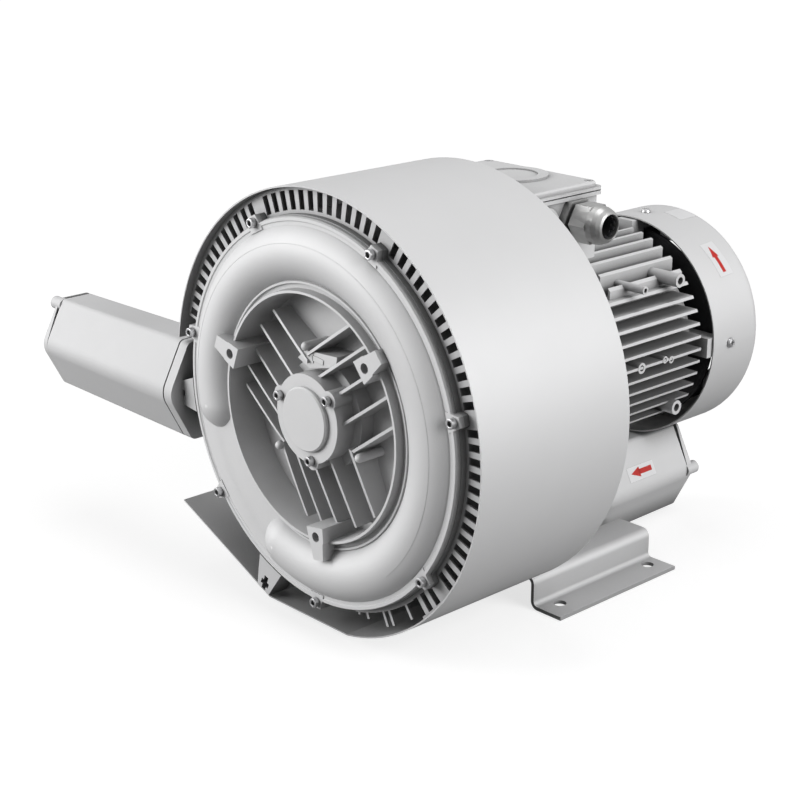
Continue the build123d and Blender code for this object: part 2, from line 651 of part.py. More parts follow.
def blade_pocket(front, back):
    """One pocket between two blades."""
    inner = IMPELLER_BORE_RADIUS + IMPELLER_RIM
    outer = IMPELLER_RADIUS - IMPELLER_RIM
    share = math.pi / BLADES
    inner_width = 2 * inner * math.tan(share) - BLADE_THICKNESS
    outer_width = 2 * outer * math.tan(share) - BLADE_THICKNESS
    return prism(wedge(inner, outer, inner_width, outer_width), front, back)


def make_impeller():
    """First stage impeller: a rim of blades on both sides of a web, carried by a dished disc and a hub."""
    middle = (IMPELLER_FRONT + IMPELLER_BACK) / 2
    bore = SHAFT_STEPS[1][1] + FIT
    blank = turned([
        (IMPELLER_BORE_RADIUS, IMPELLER_FRONT), (IMPELLER_RADIUS, IMPELLER_FRONT),
        (IMPELLER_RADIUS, IMPELLER_BACK), (IMPELLER_BORE_RADIUS, IMPELLER_BACK), (IMPELLER_BORE_RADIUS, WEB_BACK),
        (IMPELLER_HUB_RADIUS, WEB_BACK), (IMPELLER_HUB_RADIUS, IMPELLER_HUB_BACK),
        (bore, IMPELLER_HUB_BACK), (bore, WEB_FRONT), (IMPELLER_BORE_RADIUS, WEB_FRONT)])
    front_pocket = blade_pocket(IMPELLER_FRONT - 1, middle - IMPELLER_WEB / 2)
    back_pocket = blade_pocket(middle + IMPELLER_WEB / 2, IMPELLER_BACK + 1)
    pockets = [at(index * 360.0 / BLADES, pocket)
               for index in range(BLADES) for pocket in (front_pocket, back_pocket)]
    half_key = KEY_WIDTH / 2 + FIT
    keyway = block(-half_key, half_key, WEB_FRONT - 1, IMPELLER_HUB_BACK + 1, 0, SHAFT_STEPS[1][1] + 3.3)
    return blank.cut(*pockets, keyway)


def make_shaft():
    """Stepped shaft with keyways for the impellers."""
    points = [(0, SHAFT_FRONT)]
    station = SHAFT_FRONT
    for end, radius in SHAFT_STEPS:
        points += [(radius, station), (radius, end)]
        station = end
    points.append((0, station))
    body = turned(points)
    for key in key_blocks(FIT):
        body -= key
    lock_station = SHAFT_STEPS[0][0] - SMALL_BEARING[2] - 3
    body -= ring(SHAFT_STEPS[0][1] - 1, SHAFT_STEPS[0][1] + 1, lock_station - FIT, lock_station + 1.6 + FIT)
    return body


def key_blocks(play=0.0):
    """Keys of both impellers, at the top of the shaft."""
    seat = SHAFT_STEPS[1][1]
    bottom = seat - 4 - play
    middle = WEB_FRONT + IMPELLER_HUB_LENGTH / 2
    half = KEY_LENGTH / 2 + play
    width = KEY_WIDTH / 2 + play
    keys = []
    for station in (middle, MIRROR - middle):
        keys.append(block(-width, width, station - half, station + half, bottom, seat - 4 + KEY_HEIGHT + play))
    return keys


def make_impeller_keys():
    """Parallel keys between shaft and impellers."""
    return key_blocks()


def make_spacer_sleeves():
    """Sleeves that hold the impellers apart and against the bearings."""
    seat = SHAFT_STEPS[1][1] + FIT
    drive = SHAFT_STEPS[2][1] + FIT
    first = ring(seat, SLEEVE_RADIUS, SHAFT_STEPS[0][0] + FIT, WEB_FRONT - FIT)
    middle = ring(seat, SPACER_RADIUS, IMPELLER_HUB_BACK + FIT, MIRROR - IMPELLER_HUB_BACK - FIT)
    last = ring(drive, SLEEVE_RADIUS, SHAFT_STEPS[1][0] + FIT, SHAFT_STEPS[2][0] - LARGE_BEARING[2] - FIT)
    return [first, middle, last]


def make_shaft_seals():
    """Seals at the front cover, in the middle housing and towards the motor."""
    front_start = SHAFT_STEPS[0][0] + FIT
    front = ring(SLEEVE_RADIUS + 0.1, SEAL_RADIUS, front_start, front_start + SEAL_WIDTH - 0.2)
    middle = ring(SPACER_RADIUS + 0.1, SEAL_RADIUS - FIT, MIRROR / 2 - 12, MIRROR / 2 + 12)
    rear_start = MIRROR - FLOOR_BACK + 7 + FIT
    rear = ring(SLEEVE_RADIUS + 0.1, SEAL_RADIUS, rear_start, rear_start + SEAL_WIDTH)
    return [front, middle, rear]


def make_shaft_lock_ring():
    """Retaining ring in front of the front bearing."""
    station = SHAFT_STEPS[0][0] - SMALL_BEARING[2] - 3
    seat = SHAFT_STEPS[0][1] - 1 + FIT
    body = ring(seat, seat + 4.5, station, station + 1.6)
    return body - block(-2, 2, station - 1, station + 3, -seat - 6, 0)


# Ball bearings

def bearing_parts(size, front):
    """Outer ring, inner ring and caged balls of one bearing."""
    bore, outer, width, ball, count = size
    pitch = (bore + outer) / 2
    middle = front + width / 2
    groove_face = Pos(pitch, middle) * Circle(ball + BALL_PLAY)
    groove = spun(groove_face)
    shoulder = ball * 0.45
    outer_ring = ring(pitch + shoulder, outer, front, front + width) - groove
    inner_ring = ring(bore + FIT, pitch - shoulder, front, front + width) - groove
    cage = ring(pitch - CAGE_THICKNESS, pitch + CAGE_THICKNESS, middle - ball * 0.7, middle + ball * 0.7)
    balls = [at(index * 360.0 / count, Pos(pitch, middle, 0) * Sphere(ball)) for index in range(count)]
    caged = cage.fuse(*balls)
    return outer_ring, inner_ring, caged


# Motor

def motor_bosses(side):
    """Threaded bosses of the unused foot positions on one flank of the motor."""
    places = ((415.0, 82.0, 7.5, 113.0), (357.0, 82.0, 4.5, 113.0), (349.0, 0.0, 6.0, 119.5),
              (388.0, 1.0, 4.0, 119.5), (398.5, -1.0, 4.0, 119.5), (420.0, -62.0, 8.0, 113.0))
    bosses = []
    for station, height, radius, reach in places:
        tip = side * reach
        root = side * math.sqrt(max(BARREL_RADIUS ** 2 - height ** 2, 0)) - side * 4
        boss = cross_rod(radius, root, tip, station, height)
        bosses.append(boss - cross_rod(radius * 0.55, tip - side * 12, tip + side, station, height))
    return bosses


def motor_fins():
    """Cooling fins: level ones on the flanks, upright ones on top."""
    field = ring(BARREL_RADIUS - 3, FIN_RADIUS, FIN_FRONT, FIN_REAR)
    half = FIN_THICKNESS / 2
    plates = []
    for index in range(-SIDE_FINS, SIDE_FINS + 1):
        level = index * FIN_PITCH
        plates.append(block(-FIN_RADIUS, FIN_RADIUS, FIN_FRONT, FIN_REAR, level - half, level + half))
    flanks = field & joined(plates)
    uprights = []
    for offset in TOP_FIN_OFFSETS:
        for side in (-1, 1):
            x = side * offset
            low = math.sqrt(max((BARREL_RADIUS - 2) ** 2 - x ** 2, 0))
            floor = max(low, SIDE_FINS * FIN_PITCH)
            start = BOX_REAR + TOP_FIN_GAP if offset > TOP_FIN_SHORT else FIN_FRONT
            uprights.append(block(x - half, x + half, start, FIN_REAR, floor, FIN_RADIUS))
    return [flanks, field & joined(uprights)]


def make_motor_housing():
    """Finned die-cast frame with the pedestal of the terminal box."""
    barrel = ring(BARREL_BORE, BARREL_RADIUS, MOTOR_FRONT, MOTOR_REAR)
    belt = ring(BARREL_BORE + 2, BARREL_RADIUS + 3, MOTOR_FRONT, MOTOR_FRONT + EAR_DEPTH)
    parts = [belt] + motor_fins()
    ear = prism(Pos(FLANGE_EAR_CIRCLE, 0) * Circle(EAR_RADIUS) + Pos(FLANGE_EAR_CIRCLE - 7, 0) * Rectangle(14, 2 * EAR_RADIUS),
                MOTOR_FRONT, MOTOR_FRONT + EAR_DEPTH)
    parts += [at(angle, ear) for angle in (45, 135, 225, 315)]
    pedestal = block(-46, 46, BOX_FRONT + 16, BOX_REAR - 12, BARREL_RADIUS - 30, BOX_FLOOR)
    parts.append(pedestal - rod(BARREL_RADIUS - 4, MOTOR_FRONT, MOTOR_REAR))
    for side in (-1, 1):
        parts += motor_bosses(side)
    body = barrel.fuse(*parts)
    wire_hole = Pos(0, (BOX_FRONT + BOX_REAR) / 2, BOX_FLOOR - 20) * Cylinder(14, 60)
    cuts = [wire_hole]
    hole = rod(M8[0] + SCREW_PLAY, MOTOR_FRONT - 1, MOTOR_FRONT + EAR_DEPTH + 1, FLANGE_EAR_CIRCLE, 0)
    cuts += [at(angle, hole) for angle in (45, 135, 225, 315)]
    middle_wall = (BARREL_BORE + BARREL_RADIUS) / 2
    shield_hole = rod(M5[0] + SCREW_PLAY, MOTOR_REAR - 16, MOTOR_REAR + 1, middle_wall, 0)
    cuts += [at(angle, shield_hole) for angle in (45, 135, 225, 315)]
    return body.cut(*cuts)


def make_motor_flange_screws():
    """Screws that hold the motor to the rear housing."""
    one = Pos(FLANGE_EAR_CIRCLE, MOTOR_FRONT + EAR_DEPTH, 0) * screw(M8, EAR_DEPTH + 12, front=False)
    return [at(angle, one) for angle in (45, 135, 225, 315)]


def make_stator_core():
    """Laminated stator stack."""
    return ring(STATOR_BORE, BARREL_BORE - FIT, CORE_FRONT, CORE_REAR)


def winding_head(face, direction):
    """Rounded coil head beside the stator stack."""
    inner = STATOR_BORE + 5
    outer = BARREL_BORE - 6
    tip = face + direction * WINDING_REACH
    near = face + direction * FIT
    return turned([(inner + 3, tip), (outer - 3, tip), (outer, tip - direction * 4), (outer - 2, near),
                   (inner + 1, near), (inner, tip - direction * 4)])


def make_stator_windings():
    """Coil heads at both ends of the stator."""
    return [winding_head(CORE_FRONT, -1), winding_head(CORE_REAR, 1)]


def make_rotor_core():
    """Rotor stack with its cast end rings."""
    seat = SHAFT_STEPS[3][1] + FIT
    outer = STATOR_BORE - AIR_GAP
    body = ring(seat, outer, CORE_FRONT, CORE_REAR)
    end_ring = ring(outer - 18, outer - 1, CORE_FRONT - 9, CORE_FRONT)
    vane = block(outer - 14, outer - 4, CORE_FRONT - 15, CORE_FRONT - 8, -1.5, 1.5)
    ends = [end_ring] + [at(angle, vane) for angle in range(0, 360, 45)]
    far = [Pos(0, CORE_FRONT + CORE_REAR, 0) * mirror(shape, about=Plane.XZ) for shape in ends]
    return body.fuse(*ends, *far)


def make_rear_end_shield():
    """End shield with the fan end bearing seat and four lugs for the fan cover."""
    outer = LARGE_BEARING[1] + FIT
    seat_front = SHAFT_STEPS[4][0] - LARGE_BEARING[2]
    seat_end = SHAFT_STEPS[4][0] + 2.4
    back = MOTOR_REAR + 10
    plate = turned([
        (16, back + 2), (16, seat_end), (outer, seat_end), (outer, seat_front), (outer + 8, seat_front),
        (outer + 10, MOTOR_REAR), (BARREL_BORE - 6, MOTOR_REAR), (BARREL_BORE - 6, MOTOR_REAR - 6),
        (BARREL_BORE - FIT, MOTOR_REAR - 6), (BARREL_BORE - FIT, MOTOR_REAR), (BARREL_RADIUS, MOTOR_REAR),
        (BARREL_RADIUS, back - 2), (outer + 12, back + 2)])
    lug_outer = FAN_COVER_RADIUS - FAN_COVER_SHEET - SHEET_PLAY
    lug = block(BARREL_RADIUS - 12, lug_outer - 1, MOTOR_REAR + 3, FAN_FRONT - 4, -11, 11)
    lug += block(FAN_RADIUS + 4, lug_outer - 1, MOTOR_REAR + 3, FAN_SCREW_STATION + 8, -9, 9)
    lug &= ring(0, lug_outer, MOTOR_REAR, FAN_SCREW_STATION + 10)
    body = plate.fuse(*[at(angle, lug) for angle in FAN_SCREW_ANGLES])
    cuts = [at(angle, cross_rod(M5[0] + SCREW_PLAY, lug_outer - 14, lug_outer + 2, FAN_SCREW_STATION, 0))
            for angle in FAN_SCREW_ANGLES]
    middle_wall = (BARREL_BORE + BARREL_RADIUS) / 2
    hole = rod(M5[0] + SCREW_PLAY, MOTOR_REAR - 1, back + 3, middle_wall, 0)
    cuts += [at(angle, hole) for angle in (45, 135, 225, 315)]
    return body.cut(*cuts)


def make_end_shield_screws():
    """Screws of the rear end shield."""
    middle_wall = (BARREL_BORE + BARREL_RADIUS) / 2
    one = Pos(middle_wall, MOTOR_REAR + 10, 0) * screw(M5, 22, front=False)
    return [at(angle, one) for angle in (45, 135, 225, 315)]


def make_wave_washer():
    """Spring washer behind the fan end bearing."""
    return ring(LARGE_BEARING[1] - 7, LARGE_BEARING[1] - 0.5, SHAFT_STEPS[4][0] + 0.1, SHAFT_STEPS[4][0] + 2.3)


def make_cooling_fan():
    """Radial fan with straight blades on a dished plate."""
    seat = SHAFT_STEPS[5][1] + FIT
    plate_back = FAN_FRONT + 4
    hub = turned([
        (seat, FAN_FRONT), (FAN_RADIUS - 1, FAN_FRONT), (FAN_RADIUS - 1, FAN_FRONT + 3), (28, plate_back),
        (24, FAN_FRONT + FAN_WIDTH - 6), (seat, FAN_FRONT + FAN_WIDTH - 6)])
    blade = prism(Polygon((20, -1.5), (FAN_RADIUS, -1.5), (FAN_RADIUS, 1.5), (20, 1.5), align=None),
                  FAN_FRONT + 1, FAN_FRONT + FAN_WIDTH)
    nose = Plane.XY.offset(-4) * Polygon((20, FAN_FRONT + FAN_WIDTH + 1), (50, FAN_FRONT + FAN_WIDTH + 1),
                                         (20, FAN_FRONT + FAN_WIDTH - 14), align=None)
    blade -= extrude(nose, amount=8)
    body = hub.fuse(*[at(index * 360.0 / FAN_BLADES, blade) for index in range(FAN_BLADES)])
    return body - rod(seat, FAN_FRONT - 1, FAN_FRONT + FAN_WIDTH + 1)


def make_fan_retaining_ring():
    """Ring that holds the fan on the shaft."""
    start = FAN_FRONT + FAN_WIDTH - 6 + FIT
    return ring(SHAFT_STEPS[5][1] + FIT, SHAFT_STEPS[5][1] + 4, start, start + 1.5)


def intake_slots():
    """Ring-shaped slots of the fan intake, broken by spokes."""
    slots = []
    for index in range(INTAKE_RINGS):
        inner = 26 + index * 16.0
        spoke = math.degrees(9.0 / (inner + 4))
        sweep = 360.0 / INTAKE_SPOKES - spoke
        for part in range(INTAKE_SPOKES):
            start = part * 360.0 / INTAKE_SPOKES + spoke / 2
            slots.append(ring(inner, inner + 9, FAN_COVER_REAR - 4, FAN_COVER_REAR + 1, start, sweep))
    return slots


def make_fan_cover():
    """Sheet cover over the fan, with a rounded rear edge and the intake slots."""
    radius = FAN_COVER_RADIUS
    corner = FAN_COVER_CORNER
    sheet = FAN_COVER_SHEET
    start = FAN_COVER_REAR - corner
    reach = corner * math.sin(math.radians(45))
    outside = ThreePointArc((radius, start), (radius - corner + reach, start + reach), (radius - corner, FAN_COVER_REAR))
    inner_reach = (corner - sheet) * math.sin(math.radians(45))
    inside = ThreePointArc((radius - corner, FAN_COVER_REAR - sheet),
                           (radius - corner + inner_reach, start + inner_reach), (radius - sheet, start))
    outline = outside
    outline += Line((radius - corner, FAN_COVER_REAR), (0, FAN_COVER_REAR))
    outline += Line((0, FAN_COVER_REAR), (0, FAN_COVER_REAR - sheet))
    outline += Line((0, FAN_COVER_REAR - sheet), (radius - corner, FAN_COVER_REAR - sheet))
    outline += inside
    outline += Line((radius - sheet, start), (radius - sheet, FAN_COVER_FRONT))
    outline += Line((radius - sheet, FAN_COVER_FRONT), (radius, FAN_COVER_FRONT))
    outline += Line((radius, FAN_COVER_FRONT), (radius, start))
    body = spun(make_face(outline))
    cuts = intake_slots()
    cuts += [at(angle, cross_rod(M5[0] + SCREW_PLAY, radius - 6, radius + 2, FAN_SCREW_STATION, 0))
             for angle in FAN_SCREW_ANGLES]
    return body.cut(*cuts)


def make_fan_cover_screws():
    """Pan head screws that hold the fan cover to the end shield lugs."""
    screws = []
    for angle in FAN_SCREW_ANGLES:
        shank = cross_rod(M5[0], FAN_COVER_RADIUS - 13, FAN_COVER_RADIUS + 1, FAN_SCREW_STATION, 0)
        head = cross_rod(M5[1], FAN_COVER_RADIUS + 0.2, FAN_COVER_RADIUS + 3.2, FAN_SCREW_STATION, 0)
        screws.append(at(angle, shank + head))
    return screws


# Terminal box

def level_outline(half_width, front, back, corner):
    """Rounded rectangle drawn in (x, station)."""
    length = back - front
    sketch = Pos(0, (front + back) / 2) * Rectangle(2 * half_width, length)
    return fillet(sketch.vertices(), corner)


def level_slab(outline, low, high):
    """An outline drawn in (x, station), raised between two heights."""
    return Pos(0, 0, low) * extrude(outline, amount=high - low)


def lid_screw_places():
    """Corner places of the lid screws."""
    inset = BOX_WALL + 5
    return [(side * (BOX_HALF_WIDTH - inset), station)
            for side in (-1, 1) for station in (BOX_FRONT + inset, BOX_REAR - inset)]


def make_terminal_box():
    """Open box on the motor, with screw posts and two cable entries."""
    body = level_slab(level_outline(BOX_HALF_WIDTH, BOX_FRONT, BOX_REAR, BOX_CORNER), BOX_FLOOR, BOX_TOP)
    inside = level_outline(BOX_HALF_WIDTH - BOX_WALL, BOX_FRONT + BOX_WALL, BOX_REAR - BOX_WALL, BOX_CORNER - BOX_WALL)
    body -= level_slab(inside, BOX_FLOOR + 5, BOX_TOP + 1)
    posts = [Pos(x, station, (BOX_FLOOR + BOX_TOP) / 2) * Cylinder(6.5, BOX_TOP - BOX_FLOOR) for x, station in lid_screw_places()]
    rim = level_outline(BOX_HALF_WIDTH + BOX_RIM, BOX_FRONT - BOX_RIM, BOX_REAR + BOX_RIM, BOX_CORNER)
    collar = level_slab(rim, BOX_TOP - BOX_RIM_HEIGHT, BOX_TOP) - level_slab(inside, BOX_TOP - BOX_RIM_HEIGHT - 1, BOX_TOP + 1)
    body = body.fuse(*posts, collar)
    cuts = [Pos(x, station, BOX_TOP) * Cylinder(M5[0] + SCREW_PLAY, 44) for x, station in lid_screw_places()]
    for station in (GLAND_STATION, PLUG_STATION):
        cuts.append(cross_rod(GLAND_THREAD + FIT, BOX_HALF_WIDTH - 8, BOX_HALF_WIDTH + 1, station, GLAND_HEIGHT))
    cuts.append(Pos(0, (BOX_FRONT + BOX_REAR) / 2, BOX_FLOOR) * Cylinder(14, 20))
    return body.cut(*cuts)


def make_lid_gasket():
    """Gasket under the lid."""
    outer = level_outline(BOX_HALF_WIDTH + 1, BOX_FRONT - 1, BOX_REAR + 1, BOX_CORNER)
    inner = level_outline(BOX_HALF_WIDTH - BOX_WALL, BOX_FRONT + BOX_WALL, BOX_REAR - BOX_WALL, BOX_CORNER - BOX_WALL)
    body = level_slab(outer - inner, BOX_TOP, LID_BOTTOM)
    posts = [Pos(x, station, BOX_TOP + BOX_GASKET / 2) * (Cylinder(6.5, BOX_GASKET)) for x, station in lid_screw_places()]
    body = body.fuse(*posts)
    return body.cut(*[Pos(x, station, BOX_TOP) * Cylinder(M5[0] + SCREW_PLAY, 10) for x, station in lid_screw_places()])


def make_terminal_box_lid():
    """Lid with a raised disc whose round recess stays bare."""
    brim = level_outline(BOX_HALF_WIDTH + BOX_RIM, BOX_FRONT - BOX_RIM, BOX_REAR + BOX_RIM, BOX_CORNER)
    step = LID_INSET - BOX_RIM
    outline = level_outline(BOX_HALF_WIDTH - step, BOX_FRONT + step, BOX_REAR - step, BOX_CORNER - step)
    top = LID_BOTTOM + LID_HEIGHT
    slab = level_slab(outline, LID_BOTTOM, top)
    slab = fillet(slab.faces().sort_by(Axis.Z)[-1].edges(), 2.5)
    slab += level_slab(brim, LID_BOTTOM, LID_BOTTOM + LID_BRIM)
    inside = level_outline(BOX_HALF_WIDTH - BOX_WALL, BOX_FRONT + BOX_WALL, BOX_REAR - BOX_WALL, BOX_CORNER - BOX_WALL)
    slab -= level_slab(inside, LID_BOTTOM - 1, top - 4)
    slab += [Pos(x, station, (LID_BOTTOM + top) / 2 - 1) * Cylinder(6.5, LID_HEIGHT - 2) for x, station in lid_screw_places()]
    disc = Pos(LID_DISC_X, LID_DISC_STATION, top - 1) * Cylinder(LID_DISC_RADIUS, 2 * (LID_DISC_RISE + 1))
    disc -= Pos(LID_DISC_X, LID_DISC_STATION, top + LID_DISC_RISE) * Cylinder(LID_RECESS_RADIUS, 2 * LID_RECESS)
    slab += disc
    head_seat = [Pos(x, station, top) * Cylinder(M5[1] + 0.3, 2 * M5[2]) for x, station in lid_screw_places()]
    holes = [Pos(x, station, top) * Cylinder(M5[0] + SCREW_PLAY, 40) for x, station in lid_screw_places()]
    return slab.cut(*head_seat, *holes)


def make_lid_screws():
    """Four screws of the terminal box lid."""
    seat = LID_BOTTOM + LID_HEIGHT - M5[2]
    screws = []
    for x, station in lid_screw_places():
        shank = Pos(x, station, seat - 12) * Cylinder(M5[0], 24)
        head = Pos(x, station, seat + M5[2] / 2) * Cylinder(M5[1], M5[2])
        screws.append(shank + head)
    return screws


def make_terminal_board():
    """Terminal board with six studs."""
    middle = (BOX_FRONT + BOX_REAR) / 2
    base = BOX_FLOOR + 5
    body = block(-46, 10, middle - 32, middle - 14 + 20, base, base + 12)
    for column in range(3):
        for row in range(2):
            stud = Cylinder(3, 16)
            body += Pos(-38 + column * 20.0, middle - 24 + row * 20.0, base + 18) * stud
    return body


# Cable gland and plug

def hexagon_bar(across_flats, start, end, station, z):
    """Six-sided bar parallel to X."""
    outline = RegularPolygon(across_flats / 2, 6, major_radius=False)
    bar = extrude(Plane.YZ * outline, amount=end - start)
    return Pos(start, station, z) * bar


def about_gland(points):
    """A closed outline of (x, radius) points, turned about the gland's axis."""
    face = make_face(Polyline(*points, close=True))
    body = revolve(face, axis=Axis.X, revolution_arc=360)
    return Pos(BOX_HALF_WIDTH, GLAND_STATION, GLAND_HEIGHT) * body


def make_gland_body():
    """Nickel-plated gland body screwed into the box wall."""
    wall = BOX_WALL
    sleeve = about_gland([(-wall - 6, GLAND_BORE + 1), (30, GLAND_BORE + 1), (30, GLAND_THREAD - 0.6), (10, GLAND_THREAD - 0.6),
                          (10, GLAND_THREAD), (-wall - 6, GLAND_THREAD)])
    collar = hexagon_bar(GLAND_COLLAR_HEX, BOX_HALF_WIDTH, BOX_HALF_WIDTH + 9, GLAND_STATION, GLAND_HEIGHT)
    collar -= cross_rod(GLAND_THREAD - 1, BOX_HALF_WIDTH - 1, BOX_HALF_WIDTH + 12, GLAND_STATION, GLAND_HEIGHT)
    return sleeve + collar


def make_gland_nut():
    """Domed cap nut of the gland."""
    dome = about_gland([(13, GLAND_THREAD), (13, 19), (33, 20), (40, 19.3), (45, 17.5), (48.5, 15), (GLAND_LENGTH, GLAND_BORE + 0.6),
                        (GLAND_LENGTH - 1, GLAND_BORE), (42, GLAND_BORE), (38, GLAND_THREAD - 0.2), (30, GLAND_THREAD)])
    collar = hexagon_bar(GLAND_HEX, BOX_HALF_WIDTH + 13, BOX_HALF_WIDTH + 33, GLAND_STATION, GLAND_HEIGHT)
    collar -= cross_rod(GLAND_THREAD + 1, BOX_HALF_WIDTH + 12, BOX_HALF_WIDTH + 34, GLAND_STATION, GLAND_HEIGHT)
    return dome + collar


def make_gland_seal():
    """Rubber seal inside the cap nut."""
    return about_gland([(30.5, GLAND_BORE - 2), (41, GLAND_BORE - 2), (41, GLAND_BORE + 0.6), (37.5, GLAND_THREAD - 1), (30.5, GLAND_THREAD - 1)])


def make_blanking_plug():
    """Closed plug in the second cable entry."""
    start = BOX_HALF_WIDTH - BOX_WALL - 2
    stem = cross_rod(GLAND_THREAD, start, BOX_HALF_WIDTH + 1, PLUG_STATION, GLAND_HEIGHT)
    head = cross_rod(GLAND_THREAD + 2, BOX_HALF_WIDTH, BOX_HALF_WIDTH + 5, PLUG_STATION, GLAND_HEIGHT)
    head = chamfer(head.faces().sort_by(Axis.X)[-1].edges(), 1.5)
    return stem + head


# Hood and grille

def skirt_point(distance, offset):
    """Point on the straight left skirt, measured from the bend and into the hood."""
    angle = math.radians(SKIRT_ANGLE)
    x = HOOD_FLAT_END - distance * math.cos(angle) + offset * math.sin(angle)
    z = -HOOD_FLAT_DROP + distance * math.sin(angle) + offset * math.cos(angle)
    return (x, z)


def make_hood():
    """Rolled sheet: round over the top, flat below, with a straight skirt rising to the left."""
    sheet = HOOD_SHEET
    flat_outer = -HOOD_FLAT_DROP
    flat_inner = flat_outer + sheet
    outer_join = (math.sqrt(HOOD_RADIUS ** 2 - flat_outer ** 2), flat_outer)
    inner_join = (math.sqrt(HOOD_INSIDE ** 2 - flat_inner ** 2), flat_inner)
    middle_angle = (HOOD_LEFT_END - 79.0) / 2
    outer_arc = ThreePointArc(polar(HOOD_RADIUS, HOOD_LEFT_END), polar(HOOD_RADIUS, middle_angle), outer_join)
    inner_arc = ThreePointArc(inner_join, polar(HOOD_INSIDE, middle_angle), polar(HOOD_INSIDE, HOOD_LEFT_END))
    bend = sheet * math.tan(math.radians(SKIRT_ANGLE / 2))
    rest = Polyline(outer_join, (HOOD_FLAT_END, flat_outer), skirt_point(SKIRT_LENGTH, 0), skirt_point(SKIRT_LENGTH, sheet),
                    (HOOD_FLAT_END + bend, flat_inner), inner_join)
    close = Line(polar(HOOD_INSIDE, HOOD_LEFT_END), polar(HOOD_RADIUS, HOOD_LEFT_END))
    outline = make_face(outer_arc + rest + inner_arc + close)
    return prism(outline, 0, HOOD_LENGTH)


def make_hood_brackets():
    """Angle brackets between the rear housing and the hood."""
    seat = MIRROR - LIP_TOP
    foot = block(FLANGE_RADIUS - 5, HOOD_INSIDE - 2.4, seat, seat + 2, -11, 11)
    tab = block(HOOD_INSIDE - 2.4, HOOD_INSIDE - 0.4, seat, seat + 20, -11, 11)
    return [at(angle, foot + tab) for angle in (LUG_FIRST + LUG_PITCH * (index + 0.5) for index in (1, 2, 3, 4))]


def make_grille_ring():
    """Slotted ring in front of the gap between hood and casing."""
    inner = CASING_RADIUS + SCREW_PLAY * 2
    outer = HOOD_INSIDE - SHEET_PLAY
    back = GRILLE_STATION + GRILLE_SHEET
    body = ring(inner, outer, GRILLE_STATION, back, GRILLE_START, GRILLE_END - GRILLE_START)
    body += ring(inner, GRILLE_SLOT_INNER + 1, GRILLE_STATION, back, COMB_END, GRILLE_START - COMB_END + 1)
    slot_sweep = GRILLE_PITCH * GRILLE_SLOT_SHARE
    cuts = []
    for segment in range(1, 6):
        middle = LUG_FIRST + LUG_PITCH * (segment - 0.5)
        for index in range(GRILLE_SLOTS):
            angle = middle + (index - (GRILLE_SLOTS - 1) / 2) * GRILLE_PITCH
            if GRILLE_START < angle < GRILLE_END - GRILLE_PITCH / 2:
                cuts.append(ring(GRILLE_SLOT_INNER, GRILLE_SLOT_OUTER, GRILLE_STATION - 1, back + 1,
                                 angle - slot_sweep / 2, slot_sweep))
    for angle in LUG_ANGLES:
        cuts.append(at(angle, prism(wedge(CASING_RADIUS - 5, LUG_REACH + 0.5, LUG_WIDTH + 1, LUG_WIDTH / 2 + 1),
                                    GRILLE_STATION - 1, back + 1)))
    teeth = []
    for angle, tip in COMB_TEETH:
        tooth = block(GRILLE_SLOT_INNER - 1, tip, GRILLE_STATION, back, -1.6, 1.6)
        teeth.append(at(angle, tooth))
    return body.cut(*cuts).fuse(*teeth)


# Silencers

def boss_places():
    """Centres of the two screw bosses: at the right corner and at the upper left one."""
    side = SILENCER_HALF_WIDTH - SILENCER_DRAFT - SILENCER_BOSS - 0.5
    corner = SILENCER_FLAT - SILENCER_BOSS + 3
    return ((side, 0), (-corner, SILENCER_HALF_HEIGHT - SILENCER_DRAFT - SILENCER_BOSS))


def silencer_body(length):
    """Hollow cast silencer body, run along +Y from its joint."""
    form = silencer_solid(0, 0, length, length)
    body = form - silencer_solid(SILENCER_WALL, 0, length, length)
    collar_room = rod(PORT_BORE + PORT_COLLAR + SHEET_PLAY, length - PORT_DEPTH - 1, length + 1)
    bosses = [(form & rod(SILENCER_BOSS, length - 40, length, x, z)) - collar_room for x, z in boss_places()]
    holes = [rod(M6[0] + SCREW_PLAY, length - 26, length + 1, x, z) for x, z in boss_places()]
    body = body.fuse(*bosses)
    return body.cut(*holes)


def silencer_cap(length):
    """End cap whose upper half leans away from the body, with two screw bosses."""
    start = length + FIT
    end = start + SILENCER_CAP
    top = SILENCER_HALF_HEIGHT
    plate = prism(silencer_outline(SILENCER_DRAFT), start, end)
    plate = fillet(plate.faces().sort_by(Axis.Y)[-1].edges(), 4.0)
    gap_face = Polygon((start - 1, 0), (start, 0), (start + 6, top), (start - 1, top), align=None)
    gap = extrude(Plane.YZ * gap_face, amount=SILENCER_HALF_WIDTH, both=True)
    bosses = [rod(SILENCER_BOSS, start, end + 8, x, z) for x, z in boss_places()]
    collar = rod(PORT_BORE + PORT_COLLAR, end - PORT_DEPTH, end)
    body = (plate - gap).fuse(collar, *bosses)
    holes = [rod(M6[0] + SCREW_PLAY, start - 1, end + 9, x, z) for x, z in boss_places()]
    seats = [rod(M6[1] + SHEET_PLAY, end + 8 - M6[2], end + 9, x, z) for x, z in boss_places()]
    port = rod(PORT_BORE, end - PORT_DEPTH - 1, end + 1)
    return body.cut(port, *holes, *seats)


def silencer_liner(length):
    """Absorber sleeve inside the body."""
    outer = SILENCER_WALL + SHEET_PLAY
    start = GASKET + 6
    end = length - (PORT_DEPTH - SILENCER_CAP) - SHEET_PLAY
    body = silencer_solid(outer, start, end, length) - silencer_solid(outer + LINER, start, end, length)
    clear = [rod(SILENCER_BOSS + SHEET_PLAY, length - 41, length, x, z) for x, z in boss_places()]
    return body.cut(*clear)


def silencer_cap_screws(length):
    """Two cap screws of one silencer."""
    seat = length + FIT + SILENCER_CAP + 8 - M6[2]
    return [Pos(x, seat, z) * screw(M6, 32, front=False) for x, z in boss_places()]


